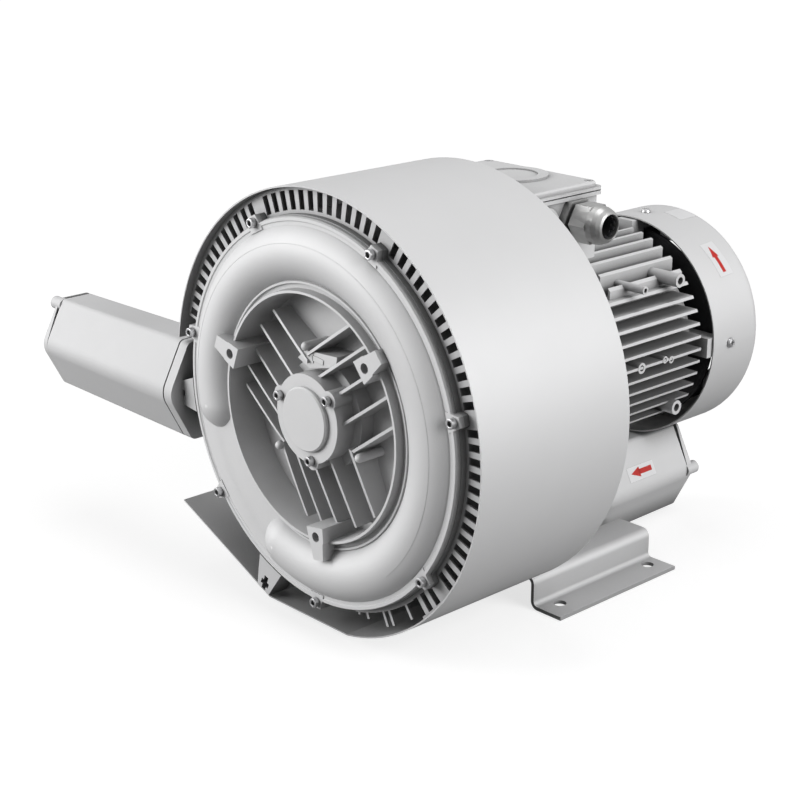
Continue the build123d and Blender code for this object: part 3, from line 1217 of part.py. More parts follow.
def port_gasket():
    """Gasket between a port flange and a silencer."""
    return prism(silencer_outline(1.0) - silencer_outline(9.0), FIT, GASKET - FIT)


# Feet

def make_foot(side):
    """Bent sheet foot: bolting flange, upright web and seat under the leg."""
    ground = -AXIS_HEIGHT
    sheet = FOOT_SHEET
    top = LEG_BOTTOM
    web_in = FOOT_WEB - sheet
    outline = Polygon(
        (FOOT_OUTER, ground), (FOOT_OUTER, ground + sheet), (FOOT_WEB, ground + sheet), (FOOT_WEB, top),
        (FOOT_INNER, top), (FOOT_INNER, top - sheet), (web_in, top - sheet), (web_in, ground), align=None)
    for x, z, radius in ((FOOT_WEB, ground + sheet, 5.0), (web_in, ground, 9.0), (FOOT_WEB, top, 9.0), (web_in, top - sheet, 5.0)):
        outline = fillet(near(outline, x, z), radius)
    body = prism(outline, FOOT_FRONT, FOOT_REAR)
    for station in (RIM_TO_FEET - FOOT_SPACING_Y / 2, RIM_TO_FEET + FOOT_SPACING_Y / 2):
        body -= Pos(FOOT_SPACING_X / 2, station, ground) * Cylinder(FOOT_HOLE_RADIUS, 4 * sheet)
    for station in FOOT_SCREW_STATIONS:
        body -= Pos(FOOT_SCREW_X, station, top) * Cylinder(M8[0] + SCREW_PLAY, 4 * sheet)
    return body if side > 0 else mirror(body, about=Plane.YZ)


def make_foot_screws():
    """Hexagon head screws up through the feet into the legs."""
    screws = []
    seat = LEG_BOTTOM - FOOT_SHEET
    for side in (-1, 1):
        for station in FOOT_SCREW_STATIONS:
            shank = Pos(side * FOOT_SCREW_X, station, seat + 7) * Cylinder(M8[0], 14)
            outline = RegularPolygon(M8[1], 6, major_radius=False)
            head = Pos(side * FOOT_SCREW_X, station, seat - 5.3) * extrude(outline, amount=5.3)
            screws.append(shank + head)
    return screws


# Export

def placed(shape):
    """Move a piece from the shaft's stations into the frame of the part."""
    return Pos(0, -RIM_TO_FEET, AXIS_HEIGHT) * shape


def write(name, shape):
    """Write one node; a list of solids becomes one file."""
    pieces = shape if isinstance(shape, list) else [shape]
    solids = [solid for piece in pieces for solid in placed(piece).solids()]
    whole = solids[0] if len(solids) == 1 else Compound(children=solids)
    whole.label = name
    export_step(whole, f"parts/{name}.step")


def write_blower():
    """Casing, impellers and the shaft line."""
    write("front_cover", make_front_cover())
    write("bearing_cap", make_bearing_cap())
    write("bearing_cap_screws", make_bearing_cap_screws())
    write("cover_screws", make_cover_screws())
    write("mid_housing", make_mid_housing())
    write("rear_housing", make_rear_housing())
    write("rear_casing_screws", make_rear_casing_screws())
    impeller = make_impeller()
    write("impeller_stage_1", impeller)
    write("impeller_stage_2", mirrored(impeller))
    write("impeller_keys", make_impeller_keys())
    write("spacer_sleeves", make_spacer_sleeves())
    write("shaft_seals", make_shaft_seals())
    write("shaft", make_shaft())
    write("shaft_lock_ring", make_shaft_lock_ring())


def write_bearings():
    """The three ball bearings."""
    places = (
        ("front", SMALL_BEARING, SHAFT_STEPS[0][0]),
        ("drive", LARGE_BEARING, SHAFT_STEPS[2][0]),
        ("fan", LARGE_BEARING, SHAFT_STEPS[4][0]))
    for name, size, end in places:
        outer, inner, caged = bearing_parts(size, end - size[2])
        write(f"{name}_bearing_outer", outer)
        write(f"{name}_bearing_inner", inner)
        write(f"{name}_bearing_balls", caged)


def write_motor():
    """Motor, fan and terminal box."""
    write("motor_housing", make_motor_housing())
    write("motor_flange_screws", make_motor_flange_screws())
    write("stator_core", make_stator_core())
    write("stator_windings", make_stator_windings())
    write("rotor_core", make_rotor_core())
    write("rear_end_shield", make_rear_end_shield())
    write("end_shield_screws", make_end_shield_screws())
    write("wave_washer", make_wave_washer())
    write("cooling_fan", make_cooling_fan())
    write("fan_retaining_ring", make_fan_retaining_ring())
    write("fan_cover", make_fan_cover())
    write("fan_cover_screws", make_fan_cover_screws())
    write("terminal_box", make_terminal_box())
    write("lid_gasket", make_lid_gasket())
    write("terminal_box_lid", make_terminal_box_lid())
    write("lid_screws", make_lid_screws())
    write("terminal_board", make_terminal_board())
    write("gland_body", make_gland_body())
    write("gland_nut", make_gland_nut())
    write("gland_seal", make_gland_seal())
    write("blanking_plug", make_blanking_plug())


def write_body():
    """Hood, grille, silencers and feet."""
    write("hood", make_hood())
    write("hood_brackets", make_hood_brackets())
    write("grille_ring", make_grille_ring())
    silencers = (
        ("left", left_placed, LEFT_PORT_FACE, LEFT_SILENCER_LENGTH),
        ("rear", rear_placed, REAR_PORT_FACE, REAR_SILENCER_LENGTH))
    screws = []
    for name, place, face, length in silencers:
        joint = Pos(0, face + GASKET, 0)
        write(f"{name}_silencer_body", place(joint * silencer_body(length)))
        write(f"{name}_silencer_cap", place(joint * silencer_cap(length)))
        write(f"{name}_silencer_liner", place(joint * silencer_liner(length)))
        write(f"{name}_gasket", place(Pos(0, face, 0) * port_gasket()))
        screws += [place(joint * shape) for shape in silencer_cap_screws(length)]
    write("silencer_screws", screws)
    write("right_foot", make_foot(1))
    write("left_foot", make_foot(-1))
    write("foot_screws", make_foot_screws())


write_blower()
write_bearings()
write_motor()
write_body()
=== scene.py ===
"""Looks of a two-stage side channel blower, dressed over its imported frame."""
from __future__ import annotations

import json
import logging
import math
from dataclasses import dataclass, field
from enum import Enum
from typing import Callable, Iterable, Sequence

import bpy
from mathutils import Matrix, Vector

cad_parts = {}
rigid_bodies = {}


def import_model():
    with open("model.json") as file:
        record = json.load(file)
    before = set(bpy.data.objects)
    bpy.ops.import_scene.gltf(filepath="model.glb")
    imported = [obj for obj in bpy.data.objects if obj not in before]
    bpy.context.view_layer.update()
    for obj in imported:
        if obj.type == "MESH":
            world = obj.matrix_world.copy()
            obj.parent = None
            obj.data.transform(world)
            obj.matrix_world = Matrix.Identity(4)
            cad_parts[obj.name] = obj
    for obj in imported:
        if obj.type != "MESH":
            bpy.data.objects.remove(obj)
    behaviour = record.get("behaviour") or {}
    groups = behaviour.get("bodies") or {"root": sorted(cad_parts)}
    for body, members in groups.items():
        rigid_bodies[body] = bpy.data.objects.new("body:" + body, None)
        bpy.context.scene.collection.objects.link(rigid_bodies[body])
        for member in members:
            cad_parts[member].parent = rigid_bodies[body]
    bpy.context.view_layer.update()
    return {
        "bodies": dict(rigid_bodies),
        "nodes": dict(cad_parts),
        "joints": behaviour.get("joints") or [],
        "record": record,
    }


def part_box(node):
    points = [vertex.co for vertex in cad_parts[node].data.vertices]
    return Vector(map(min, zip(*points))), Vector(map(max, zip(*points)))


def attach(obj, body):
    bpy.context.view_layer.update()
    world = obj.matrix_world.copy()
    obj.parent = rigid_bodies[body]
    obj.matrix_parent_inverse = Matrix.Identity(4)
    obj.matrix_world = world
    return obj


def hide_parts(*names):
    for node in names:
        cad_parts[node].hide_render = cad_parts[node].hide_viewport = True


LOG = logging.getLogger("blower")
BLOWER = "blower"
ROTOR = "rotor"

# Waves per metre of the colour's clouds and of the gloss's wear, and the largest change of roughness
CLOUD_SCALE = 18.0
WEAR_SCALE = 60.0
MOST_WEAR = 0.05

# Radians of a turn, for the bands of a wave texture
BAND_TURN = 6.28

# Openness that counts as a deep corner and as an open face, for the painted shade in recesses
DEEP_CORNER = 0.3
OPEN_FACE = 0.95

# Degrees from which an edge is rounded, and up to which faces are shaded as one
EDGE_ANGLE = 40.0
SMOOTH_ANGLE = 35.0

# Upward share of a normal from which a face looks up
LOOKS_UP = 0.9

# Metres from the floor up to the shaft, and from the hood's front rim to the middle of the feet
AXIS_HEIGHT = 0.236
RIM_TO_FEET = 0.300


def spot(x: float, station: float, z: float) -> Vector:
    """Point of the frame from millimetres across, along and above the shaft.

    Args:
        x: millimetres to the right of the shaft.
        station: millimetres behind the hood's front rim.
        z: millimetres above the shaft.

    Returns:
        The point in metres.
    """
    return Vector((x / 1000, station / 1000 - RIM_TO_FEET, z / 1000 + AXIS_HEIGHT))


def rim_spot(radius: float, angle: float, station: float) -> Vector:
    """Point at a radius (mm) and an angle (degrees) about the shaft, seen from the cover."""
    turn = math.radians(angle)
    return spot(radius * math.cos(turn), station, radius * math.sin(turn))


class Facing(Enum):
    """Directions that the screw heads look to."""

    FRONT = (0.0, -1.0, 0.0)
    REAR = (0.0, 1.0, 0.0)
    LEFT = (-1.0, 0.0, 0.0)
    UP = (0.0, 0.0, 1.0)
    DOWN = (0.0, 0.0, -1.0)


class Texture(Enum):
    """Surface patterns of the finishes."""

    BLASTED = "blasted"
    ROLLED = "rolled"
    TURNED = "turned"
    LAMINATED = "laminated"
    WOUND = "wound"
    SMOOTH = "smooth"
    FOAM = "foam"


class Graph:
    """Short way to write the nodes of a material or a world."""

    def __init__(self, owner: bpy.types.Material | bpy.types.World) -> None:
        """Empty the owner's node tree."""
        owner.use_nodes = True
        self.tree = owner.node_tree
        self.tree.nodes.clear()

    def node(self, kind: str, **values: object) -> bpy.types.Node:
        """Add a node and set its properties and inputs.

        Args:
            kind: node type without the ShaderNode prefix.
            values: properties, or inputs written with spaces as underscores.

        Returns:
            The new node.
        """
        made = self.tree.nodes.new("ShaderNode" + kind)
        for key, value in values.items():
            if hasattr(made, key):
                setattr(made, key, value)
            else:
                made.inputs[key.replace("_", " ")].default_value = value
        return made

    def link(self, source: bpy.types.Node, output: str | int,
             target: bpy.types.Node, socket: str | int) -> None:
        """Join an output to an input."""
        self.tree.links.new(source.outputs[output], target.inputs[socket])


class Surface(Graph):
    """Nodes of a new material with one principled shader."""

    def __init__(self, name: str) -> None:
        """Start with the shader, its output and the coordinates."""
        self.material = bpy.data.materials.new(name)
        super().__init__(self.material)
        self.output = self.node("OutputMaterial")
        self.shader = self.node("BsdfPrincipled")
        self.link(self.shader, "BSDF", self.output, "Surface")
        self.coords = self.node("TexCoord")

    def noise(self, scale: float, detail: float,
              stretch: Sequence[float] = (1, 1, 1)) -> bpy.types.Node:
        """Noise on Object coordinates.

        Args:
            scale: waves per metre.
            detail: octaves.
            stretch: scale of each axis before the noise.

        Returns:
            The noise node.
        """
        made = self.node("TexNoise", Scale=scale, Detail=detail, Roughness=0.55)
        if tuple(stretch) == (1, 1, 1):
            self.link(self.coords, "Object", made, "Vector")
        else:
            mapping = self.node("Mapping", Scale=tuple(stretch))
            self.link(self.coords, "Object", mapping, "Vector")
            self.link(mapping, "Vector", made, "Vector")
        return made

    def spread(self, source: bpy.types.Node, output: str, low: float, high: float,
               source_low: float = 0.35, source_high: float = 0.65) -> bpy.types.Node:
        """Map a factor onto a range.

        Args:
            source: node that gives the factor.
            output: its socket.
            low: result at the low end.
            high: result at the high end.
            source_low: factor at the low end.
            source_high: factor at the high end.

        Returns:
            The mapping node.
        """
        made = self.node("MapRange")
        made.inputs["From Min"].default_value = source_low
        made.inputs["From Max"].default_value = source_high
        made.inputs["To Min"].default_value = low
        made.inputs["To Max"].default_value = high
        self.link(source, output, made, "Value")
        return made

    def tint(self, factor: bpy.types.Node, output: str | int,
             dark: Sequence[float], light: Sequence[float]) -> bpy.types.Node:
        """Blend two colours by a factor."""
        made = self.node("Mix", data_type="RGBA")
        made.inputs[6].default_value = (*dark, 1)
        made.inputs[7].default_value = (*light, 1)
        self.link(factor, output, made, 0)
        return made

    def recess(self, reach: float) -> bpy.types.Node:
        """Openness of a surface: 1 in the open and 0 in a deep corner.

        Args:
            reach: metres that count as near.

        Returns:
            The occlusion node.
        """
        made = self.node("AmbientOcclusion", samples=8)
        made.inputs["Distance"].default_value = reach
        return made

    def raise_surface(self, source: bpy.types.Node, output: str | int,
                      height: float, strength: float = 1.0) -> None:
        """Add a bump to the shader, on top of any bump that is there."""
        bump = self.node("Bump", Strength=strength, Distance=height)
        self.link(source, output, bump, "Height")
        earlier = self.shader.inputs["Normal"].links
        if earlier:
            self.tree.links.new(earlier[0].from_socket, bump.inputs["Normal"])
        self.link(bump, "Normal", self.shader, "Normal")


@dataclass(frozen=True)
class Finish:
    """A finish of the blower: colour, gloss and the pattern of its surface.

    Attributes:
        name: name of the material.
        colour: base colour.
        metallic: share of metal.
        roughness: gloss of the surface.
        texture: pattern of the surface.
        grain: size of the pattern in metres.
        depth: height of the pattern in metres.
        mottle: share by which colour and gloss vary.
        reach: metres within which a neighbour makes the colour darker, as painted shade; 0 for none.
        shade: brightness left in a deep corner by the painted shade.
    """

    name: str
    colour: tuple[float, float, float]
    metallic: float
    roughness: float
    texture: Texture
    grain: float
    depth: float
    mottle: float
    reach: float = 0.0
    shade: float = 1.0

    def make(self) -> bpy.types.Material:
        """Build the node material of this finish."""
        graph = Surface(self.name)
        graph.shader.inputs["Metallic"].default_value = self.metallic
        self.paint(graph)
        patterns: dict[Texture, Callable[[Surface], None]] = {
            Texture.BLASTED: self.blast, Texture.ROLLED: self.roll, Texture.TURNED: self.turn,
            Texture.LAMINATED: self.laminate, Texture.WOUND: self.wind, Texture.SMOOTH: self.smooth,
            Texture.FOAM: self.foam}
        patterns[self.texture](graph)
        return graph.material

    def paint(self, graph: Surface) -> None:
        """Give the colour its slow variation and painted shade in recesses, and the gloss its wear.
        """
        cloud = graph.noise(CLOUD_SCALE, 4.0)
        factor = graph.spread(cloud, "Fac", 0.0, 1.0)
        dark = tuple(channel * (1 - self.mottle) for channel in self.colour)
        light = tuple(min(1.0, channel * (1 + self.mottle)) for channel in self.colour)
        blend = graph.tint(factor, 0, dark, light)
        # Painted shade: the colour is made darker in recesses.
        if self.reach:
            blend = self.paint_recess_shade(graph, blend)
        graph.link(blend, 2, graph.shader, "Base Color")
        gloss = graph.noise(WEAR_SCALE, 3.0)
        wear = min(self.mottle, MOST_WEAR)
        rough = graph.spread(gloss, "Fac", self.roughness - wear, self.roughness + wear)
        graph.link(rough, 0, graph.shader, "Roughness")

    def paint_recess_shade(self, graph: Surface, blend: bpy.types.Node) -> bpy.types.Node:
        """Paint shade into the recesses: make the base colour darker where neighbours are near."""
        open_air = graph.recess(self.reach)
        level = graph.spread(open_air, "AO", self.shade, 1.0, DEEP_CORNER, OPEN_FACE)
        deep = graph.node("Mix", data_type="RGBA", blend_type="MULTIPLY")
        deep.inputs[0].default_value = 1.0
        graph.link(blend, 2, deep, 6)
        graph.link(level, 0, deep, 7)
        return deep

    def blast(self, graph: Surface) -> None:
        """Fine peened grain of a blasted casting."""
        fine = graph.noise(1 / self.grain, 4.0)
        graph.raise_surface(fine, "Fac", self.depth)
        coarse = graph.noise(0.25 / self.grain, 2.0)
        graph.raise_surface(coarse, "Fac", self.depth * 1.6, 0.6)

    def roll(self, graph: Surface) -> None:
        """Faint orange peel of coated sheet."""
        peel = graph.noise(1 / self.grain, 2.0)
        graph.raise_surface(peel, "Fac", self.depth)
        fine = graph.noise(2.6 / self.grain, 2.0)
        graph.raise_surface(fine, "Fac", self.depth * 0.5, 0.5)

    def turn(self, graph: Surface) -> None:
        """Fine tool rings about the shaft or along it."""
        rings = graph.noise(1 / self.grain, 2.0, (0.1, 1.0, 0.1))
        graph.raise_surface(rings, "Fac", self.depth)

    def laminate(self, graph: Surface) -> None:
        """Thin stacked plates along the shaft."""
        plates = graph.node("TexWave", wave_type="BANDS", bands_direction="Y",
                            Scale=1 / (self.grain * BAND_TURN), Distortion=0.3)
        graph.link(graph.coords, "Object", plates, "Vector")
        graph.raise_surface(plates, "Fac", self.depth)

    def wind(self, graph: Surface) -> None:
        """Bundled round wires."""
        wires = graph.node("TexWave", wave_type="RINGS", rings_direction="Y",
                           Scale=1 / (self.grain * BAND_TURN), Distortion=1.2, Detail=1.0)
        mapping = graph.node("Mapping", Location=(0, 0, -AXIS_HEIGHT))
        graph.link(graph.coords, "Object", mapping, "Vector")
        graph.link(mapping, "Vector", wires, "Vector")
        graph.raise_surface(wires, "Fac", self.depth)

    def smooth(self, graph: Surface) -> None:
        """Almost even surface with light handling marks."""
        marks = graph.noise(1 / self.grain, 2.0)
        graph.raise_surface(marks, "Fac", self.depth, 0.5)

    def foam(self, graph: Surface) -> None:
        """Open cells."""
        cells = graph.node("TexVoronoi", Scale=1 / self.grain)
        graph.link(graph.coords, "Object", cells, "Vector")
        graph.raise_surface(cells, "Distance", self.depth)


# Finishes with reach and shade paint shade into their recesses: the motor fins' gaps, the cover's
# dish and the hood's skirt.
CASTING = Finish(
    "cast aluminium, blasted", (0.68, 0.68, 0.685), metallic=0.18, roughness=0.72,
    texture=Texture.BLASTED, grain=0.0007, depth=0.00006, mottle=0.008, reach=0.035, shade=0.26)
COVER_CASTING = Finish(
    "cover casting, blasted", (0.79, 0.79, 0.795), metallic=0.22, roughness=0.66,
    texture=Texture.BLASTED, grain=0.0008, depth=0.00008, mottle=0.01, reach=0.05, shade=0.58)
HOOD_SHEET = Finish(
    "silver coated sheet", (0.70, 0.70, 0.705), metallic=0.28, roughness=0.60,
    texture=Texture.ROLLED, grain=0.0009, depth=0.00001, mottle=0.006, reach=0.07, shade=0.38)
RAW_CASTING = Finish(
    "bare impeller casting", (0.70, 0.71, 0.72), metallic=0.8, roughness=0.4,
    texture=Texture.BLASTED, grain=0.0012, depth=0.00008, mottle=0.05)
SHAFT_STEEL = Finish(
    "ground shaft steel", (0.48, 0.49, 0.51), metallic=1.0, roughness=0.25,
    texture=Texture.TURNED, grain=0.0004, depth=0.00002, mottle=0.03)
# Painted shade in the screw sockets.
ZINC = Finish(
    "zinc plated screw", (0.66, 0.66, 0.67), metallic=0.85, roughness=0.32,
    texture=Texture.SMOOTH, grain=0.0006, depth=0.00002, mottle=0.06, reach=0.005, shade=0.12)
RACE_STEEL = Finish(
    "polished race", (0.62, 0.63, 0.65), metallic=1.0, roughness=0.14, texture=Texture.SMOOTH,
    grain=0.001, depth=0.00001, mottle=0.02)
CORE_STEEL = Finish(
    "core laminations", (0.30, 0.31, 0.33), metallic=0.8, roughness=0.5,
    texture=Texture.LAMINATED, grain=0.0006, depth=0.0001, mottle=0.08)
COPPER = Finish(
    "lacquered windings", (0.62, 0.28, 0.12), metallic=0.7, roughness=0.35,
    texture=Texture.WOUND, grain=0.0012, depth=0.0004, mottle=0.12)
FAN_PLASTIC = Finish(
    "fan plastic", (0.03, 0.03, 0.033), metallic=0.0, roughness=0.5, texture=Texture.SMOOTH,
    grain=0.0012, depth=0.00005, mottle=0.1)
BOARD = Finish(
    "terminal board", (0.10, 0.08, 0.07), metallic=0.0, roughness=0.45, texture=Texture.SMOOTH,
    grain=0.001, depth=0.00005, mottle=0.1)
# Painted shade in the gland's grooves and between its facets.
NICKEL = Finish(
    "nickel plated brass", (0.55, 0.55, 0.545), metallic=0.85, roughness=0.42,
    texture=Texture.SMOOTH, grain=0.0015, depth=0.00002, mottle=0.03, reach=0.012, shade=0.35)
RUBBER = Finish(
    "black rubber", (0.02, 0.02, 0.02), metallic=0.0, roughness=0.6, texture=Texture.SMOOTH,
    grain=0.0008, depth=0.00006, mottle=0.15)
FOAM = Finish(
    "absorber foam", (0.10, 0.10, 0.10), metallic=0.0, roughness=0.9, texture=Texture.FOAM,
    grain=0.002, depth=0.0006, mottle=0.2)
LABEL = Finish(
    "label film", (0.80, 0.80, 0.81), metallic=0.15, roughness=0.35, texture=Texture.SMOOTH,
    grain=0.002, depth=0.00002, mottle=0.01)
ARROW_RED = Finish(
    "arrow red", (0.52, 0.018, 0.012), metallic=0.0, roughness=0.6, texture=Texture.SMOOTH,
    grain=0.002, depth=0.00002, mottle=0.03)
PLATE = Finish(
    "bare plate", (0.82, 0.82, 0.83), metallic=0.2, roughness=0.40, texture=Texture.ROLLED,
    grain=0.0005, depth=0.00001, mottle=0.02)


@dataclass
class Dresser:
    """Gives every CAD node its finish."""

    nodes: dict[str, bpy.types.Object]
    made: dict[str, bpy.types.Material] = field(default_factory=dict)

    def material(self, finish: Finish) -> bpy.types.Material:
        """The material of a finish, built once."""
        if finish.name not in self.made:
            self.made[finish.name] = finish.make()
        return self.made[finish.name]

    def dress(self, piece: bpy.types.Object, finish: Finish) -> None:
        """Put one finish on all of a piece.

        Args:
            piece: mesh object.
            finish: the finish.
        """
        material = self.material(finish)
        if not piece.data.materials:
            piece.data.materials.append(material)
        for slot in piece.material_slots:
            slot.material = material

    def dress_nodes(self) -> None:
        """Finish of each CAD node."""
        groups: dict[Finish, tuple[str, ...]] = {
            COVER_CASTING: ("front_cover", "bearing_cap"),
            CASTING: ("mid_housing", "rear_housing", "motor_housing", "rear_end_shield",
                      "terminal_box", "terminal_box_lid", "blanking_plug", "left_silencer_body",
                      "left_silencer_cap", "rear_silencer_body", "rear_silencer_cap"),
            HOOD_SHEET: ("hood", "fan_cover", "grille_ring", "right_foot", "left_foot"),
            RAW_CASTING: ("impeller_stage_1", "impeller_stage_2"),
            SHAFT_STEEL: ("shaft", "spacer_sleeves", "impeller_keys"),
            ZINC: ("bearing_cap_screws", "cover_screws", "rear_casing_screws", "shaft_lock_ring",
                   "motor_flange_screws", "end_shield_screws", "wave_washer", "fan_retaining_ring",
                   "fan_cover_screws", "lid_screws", "silencer_screws", "foot_screws",
                   "hood_brackets"),
            RACE_STEEL: tuple(f"{place}_bearing_{part}" for place in ("front", "drive", "fan")
                              for part in ("outer", "inner", "balls")),
            CORE_STEEL: ("rotor_core", "stator_core"),
            COPPER: ("stator_windings",),
            FAN_PLASTIC: ("cooling_fan",),
            BOARD: ("terminal_board",),
            NICKEL: ("gland_body", "gland_nut"),
            RUBBER: ("shaft_seals", "lid_gasket", "gland_seal", "left_gasket", "rear_gasket"),
            FOAM: ("left_silencer_liner", "rear_silencer_liner"),
        }
        for finish, names in groups.items():
            for name in names:
                self.dress(self.nodes[name], finish)
        LOG.info("dressed %d nodes", sum(len(names) for names in groups.values()))


class Bench:
    """Modelling steps that every sub-assembly uses."""

    @staticmethod
    def clear() -> None:
        """Deselect everything in object mode."""
        if bpy.context.mode != "OBJECT":
            bpy.ops.object.mode_set(mode="OBJECT")
        bpy.ops.object.select_all(action="DESELECT")

    @classmethod
    def pick(cls, piece: bpy.types.Object) -> None:
        """Select one object and make it active."""
        cls.clear()
        piece.select_set(True)
        bpy.context.view_layer.objects.active = piece

    @classmethod
    def drum(cls, radius: float, height: float, sides: int) -> bpy.types.Object:
        """Upright cylinder with its base at the origin.

        Args:
            radius: metres.
            height: metres.
            sides: faces round it.

        Returns:
            The new object.
        """
        cls.clear()
        bpy.ops.mesh.primitive_cylinder_add(vertices=sides, radius=radius, depth=height,
                                            location=(0, 0, height / 2))
        piece = bpy.context.active_object
        cls.settle(piece)
        return piece

    @classmethod
    def panel(cls, width: float, height: float, cuts: int) -> bpy.types.Object:
        """Flat grid in the XY plane, centred on the origin.

        Args:
            width: along X in metres.
            height: along Y in metres.
            cuts: cells each way.

        Returns:
            The new object.
        """
        cls.clear()
        bpy.ops.mesh.primitive_grid_add(x_subdivisions=cuts, y_subdivisions=cuts, size=1.0,
                                        location=(0, 0, 0))
        piece = bpy.context.active_object
        piece.scale = (width, height, 1)
        cls.settle(piece)
        return piece

    @classmethod
    def settle(cls, piece: bpy.types.Object) -> None:
        """Move an object's place into its mesh."""
        cls.pick(piece)
        bpy.ops.object.transform_apply(location=True, rotation=True, scale=True)

    @classmethod
    def hexagon(cls, flat: float, height: float) -> bpy.types.Object:
        """Upright hexagonal prism, by the distance from its middle to a flat and its height."""
        return cls.drum(flat / math.cos(math.radians(30)), height, 6)

    @classmethod
    def choose_top(cls, piece: bpy.types.Object) -> None:
        """Enter edit mode with the faces that look up selected."""
        cls.pick(piece)
        bpy.ops.object.mode_set(mode="EDIT")
        bpy.ops.mesh.select_mode(type="FACE")
        bpy.ops.mesh.select_all(action="DESELECT")
        bpy.ops.object.mode_set(mode="OBJECT")
        for face in piece.data.polygons:
            face.select = face.normal.z > LOOKS_UP
        bpy.ops.object.mode_set(mode="EDIT")

    @classmethod
    def cut(cls, piece: bpy.types.Object, tool: bpy.types.Object) -> None:
        """Cut a tool's shape out of a piece and remove the tool."""
        cls.pick(piece)
        modifier = piece.modifiers.new("cut", "BOOLEAN")
        modifier.operation = "DIFFERENCE"
        modifier.solver = "EXACT"
        modifier.object = tool
        bpy.ops.object.modifier_apply(modifier="cut")
        bpy.data.objects.remove(tool)

    @classmethod
    def soften(cls, piece: bpy.types.Object, width: float, segments: int) -> None:
        """Round the edges of a piece with an applied bevel.

        Args:
            piece: mesh object.
            width: of the rounding in metres.
            segments: faces across it.
        """
        cls.pick(piece)
        modifier = piece.modifiers.new("edges", "BEVEL")
        modifier.width = width
        modifier.segments = segments
        modifier.limit_method = "ANGLE"
        modifier.angle_limit = math.radians(EDGE_ANGLE)
        bpy.ops.object.modifier_apply(modifier="edges")
        bpy.ops.object.shade_smooth_by_angle(angle=math.radians(SMOOTH_ANGLE))

    @classmethod
    def copy_to(cls, piece: bpy.types.Object, place: Matrix) -> bpy.types.Object:
        """Copy a piece with its own mesh and put the place into that mesh.

        Args:
            piece: the modelled original.
            place: where the copy goes.

        Returns:
            The copy.
        """
        twin = piece.copy()
        twin.data = piece.data.copy()
        twin.data.transform(place)
        bpy.context.scene.collection.objects.link(twin)
        return twin

    @classmethod
    def gather(cls, pieces: Iterable[bpy.types.Object], name: str) -> bpy.types.Object:
        """Join pieces into one object under a name."""
        pieces = list(pieces)
        cls.clear()
        for piece in pieces:
            piece.select_set(True)
        bpy.context.view_layer.objects.active = pieces[0]
        if len(pieces) > 1:
            bpy.ops.object.join()
        joined = bpy.context.view_layer.objects.active
        joined.name = name
        return joined

    @staticmethod
    def pose(where: Vector, facing: Vector) -> Matrix:
        """Matrix that puts a piece's base at a point with its Z along a direction."""
        return Matrix.Translation(where) @ facing.to_track_quat("Z", "Y").to_matrix().to_4x4()


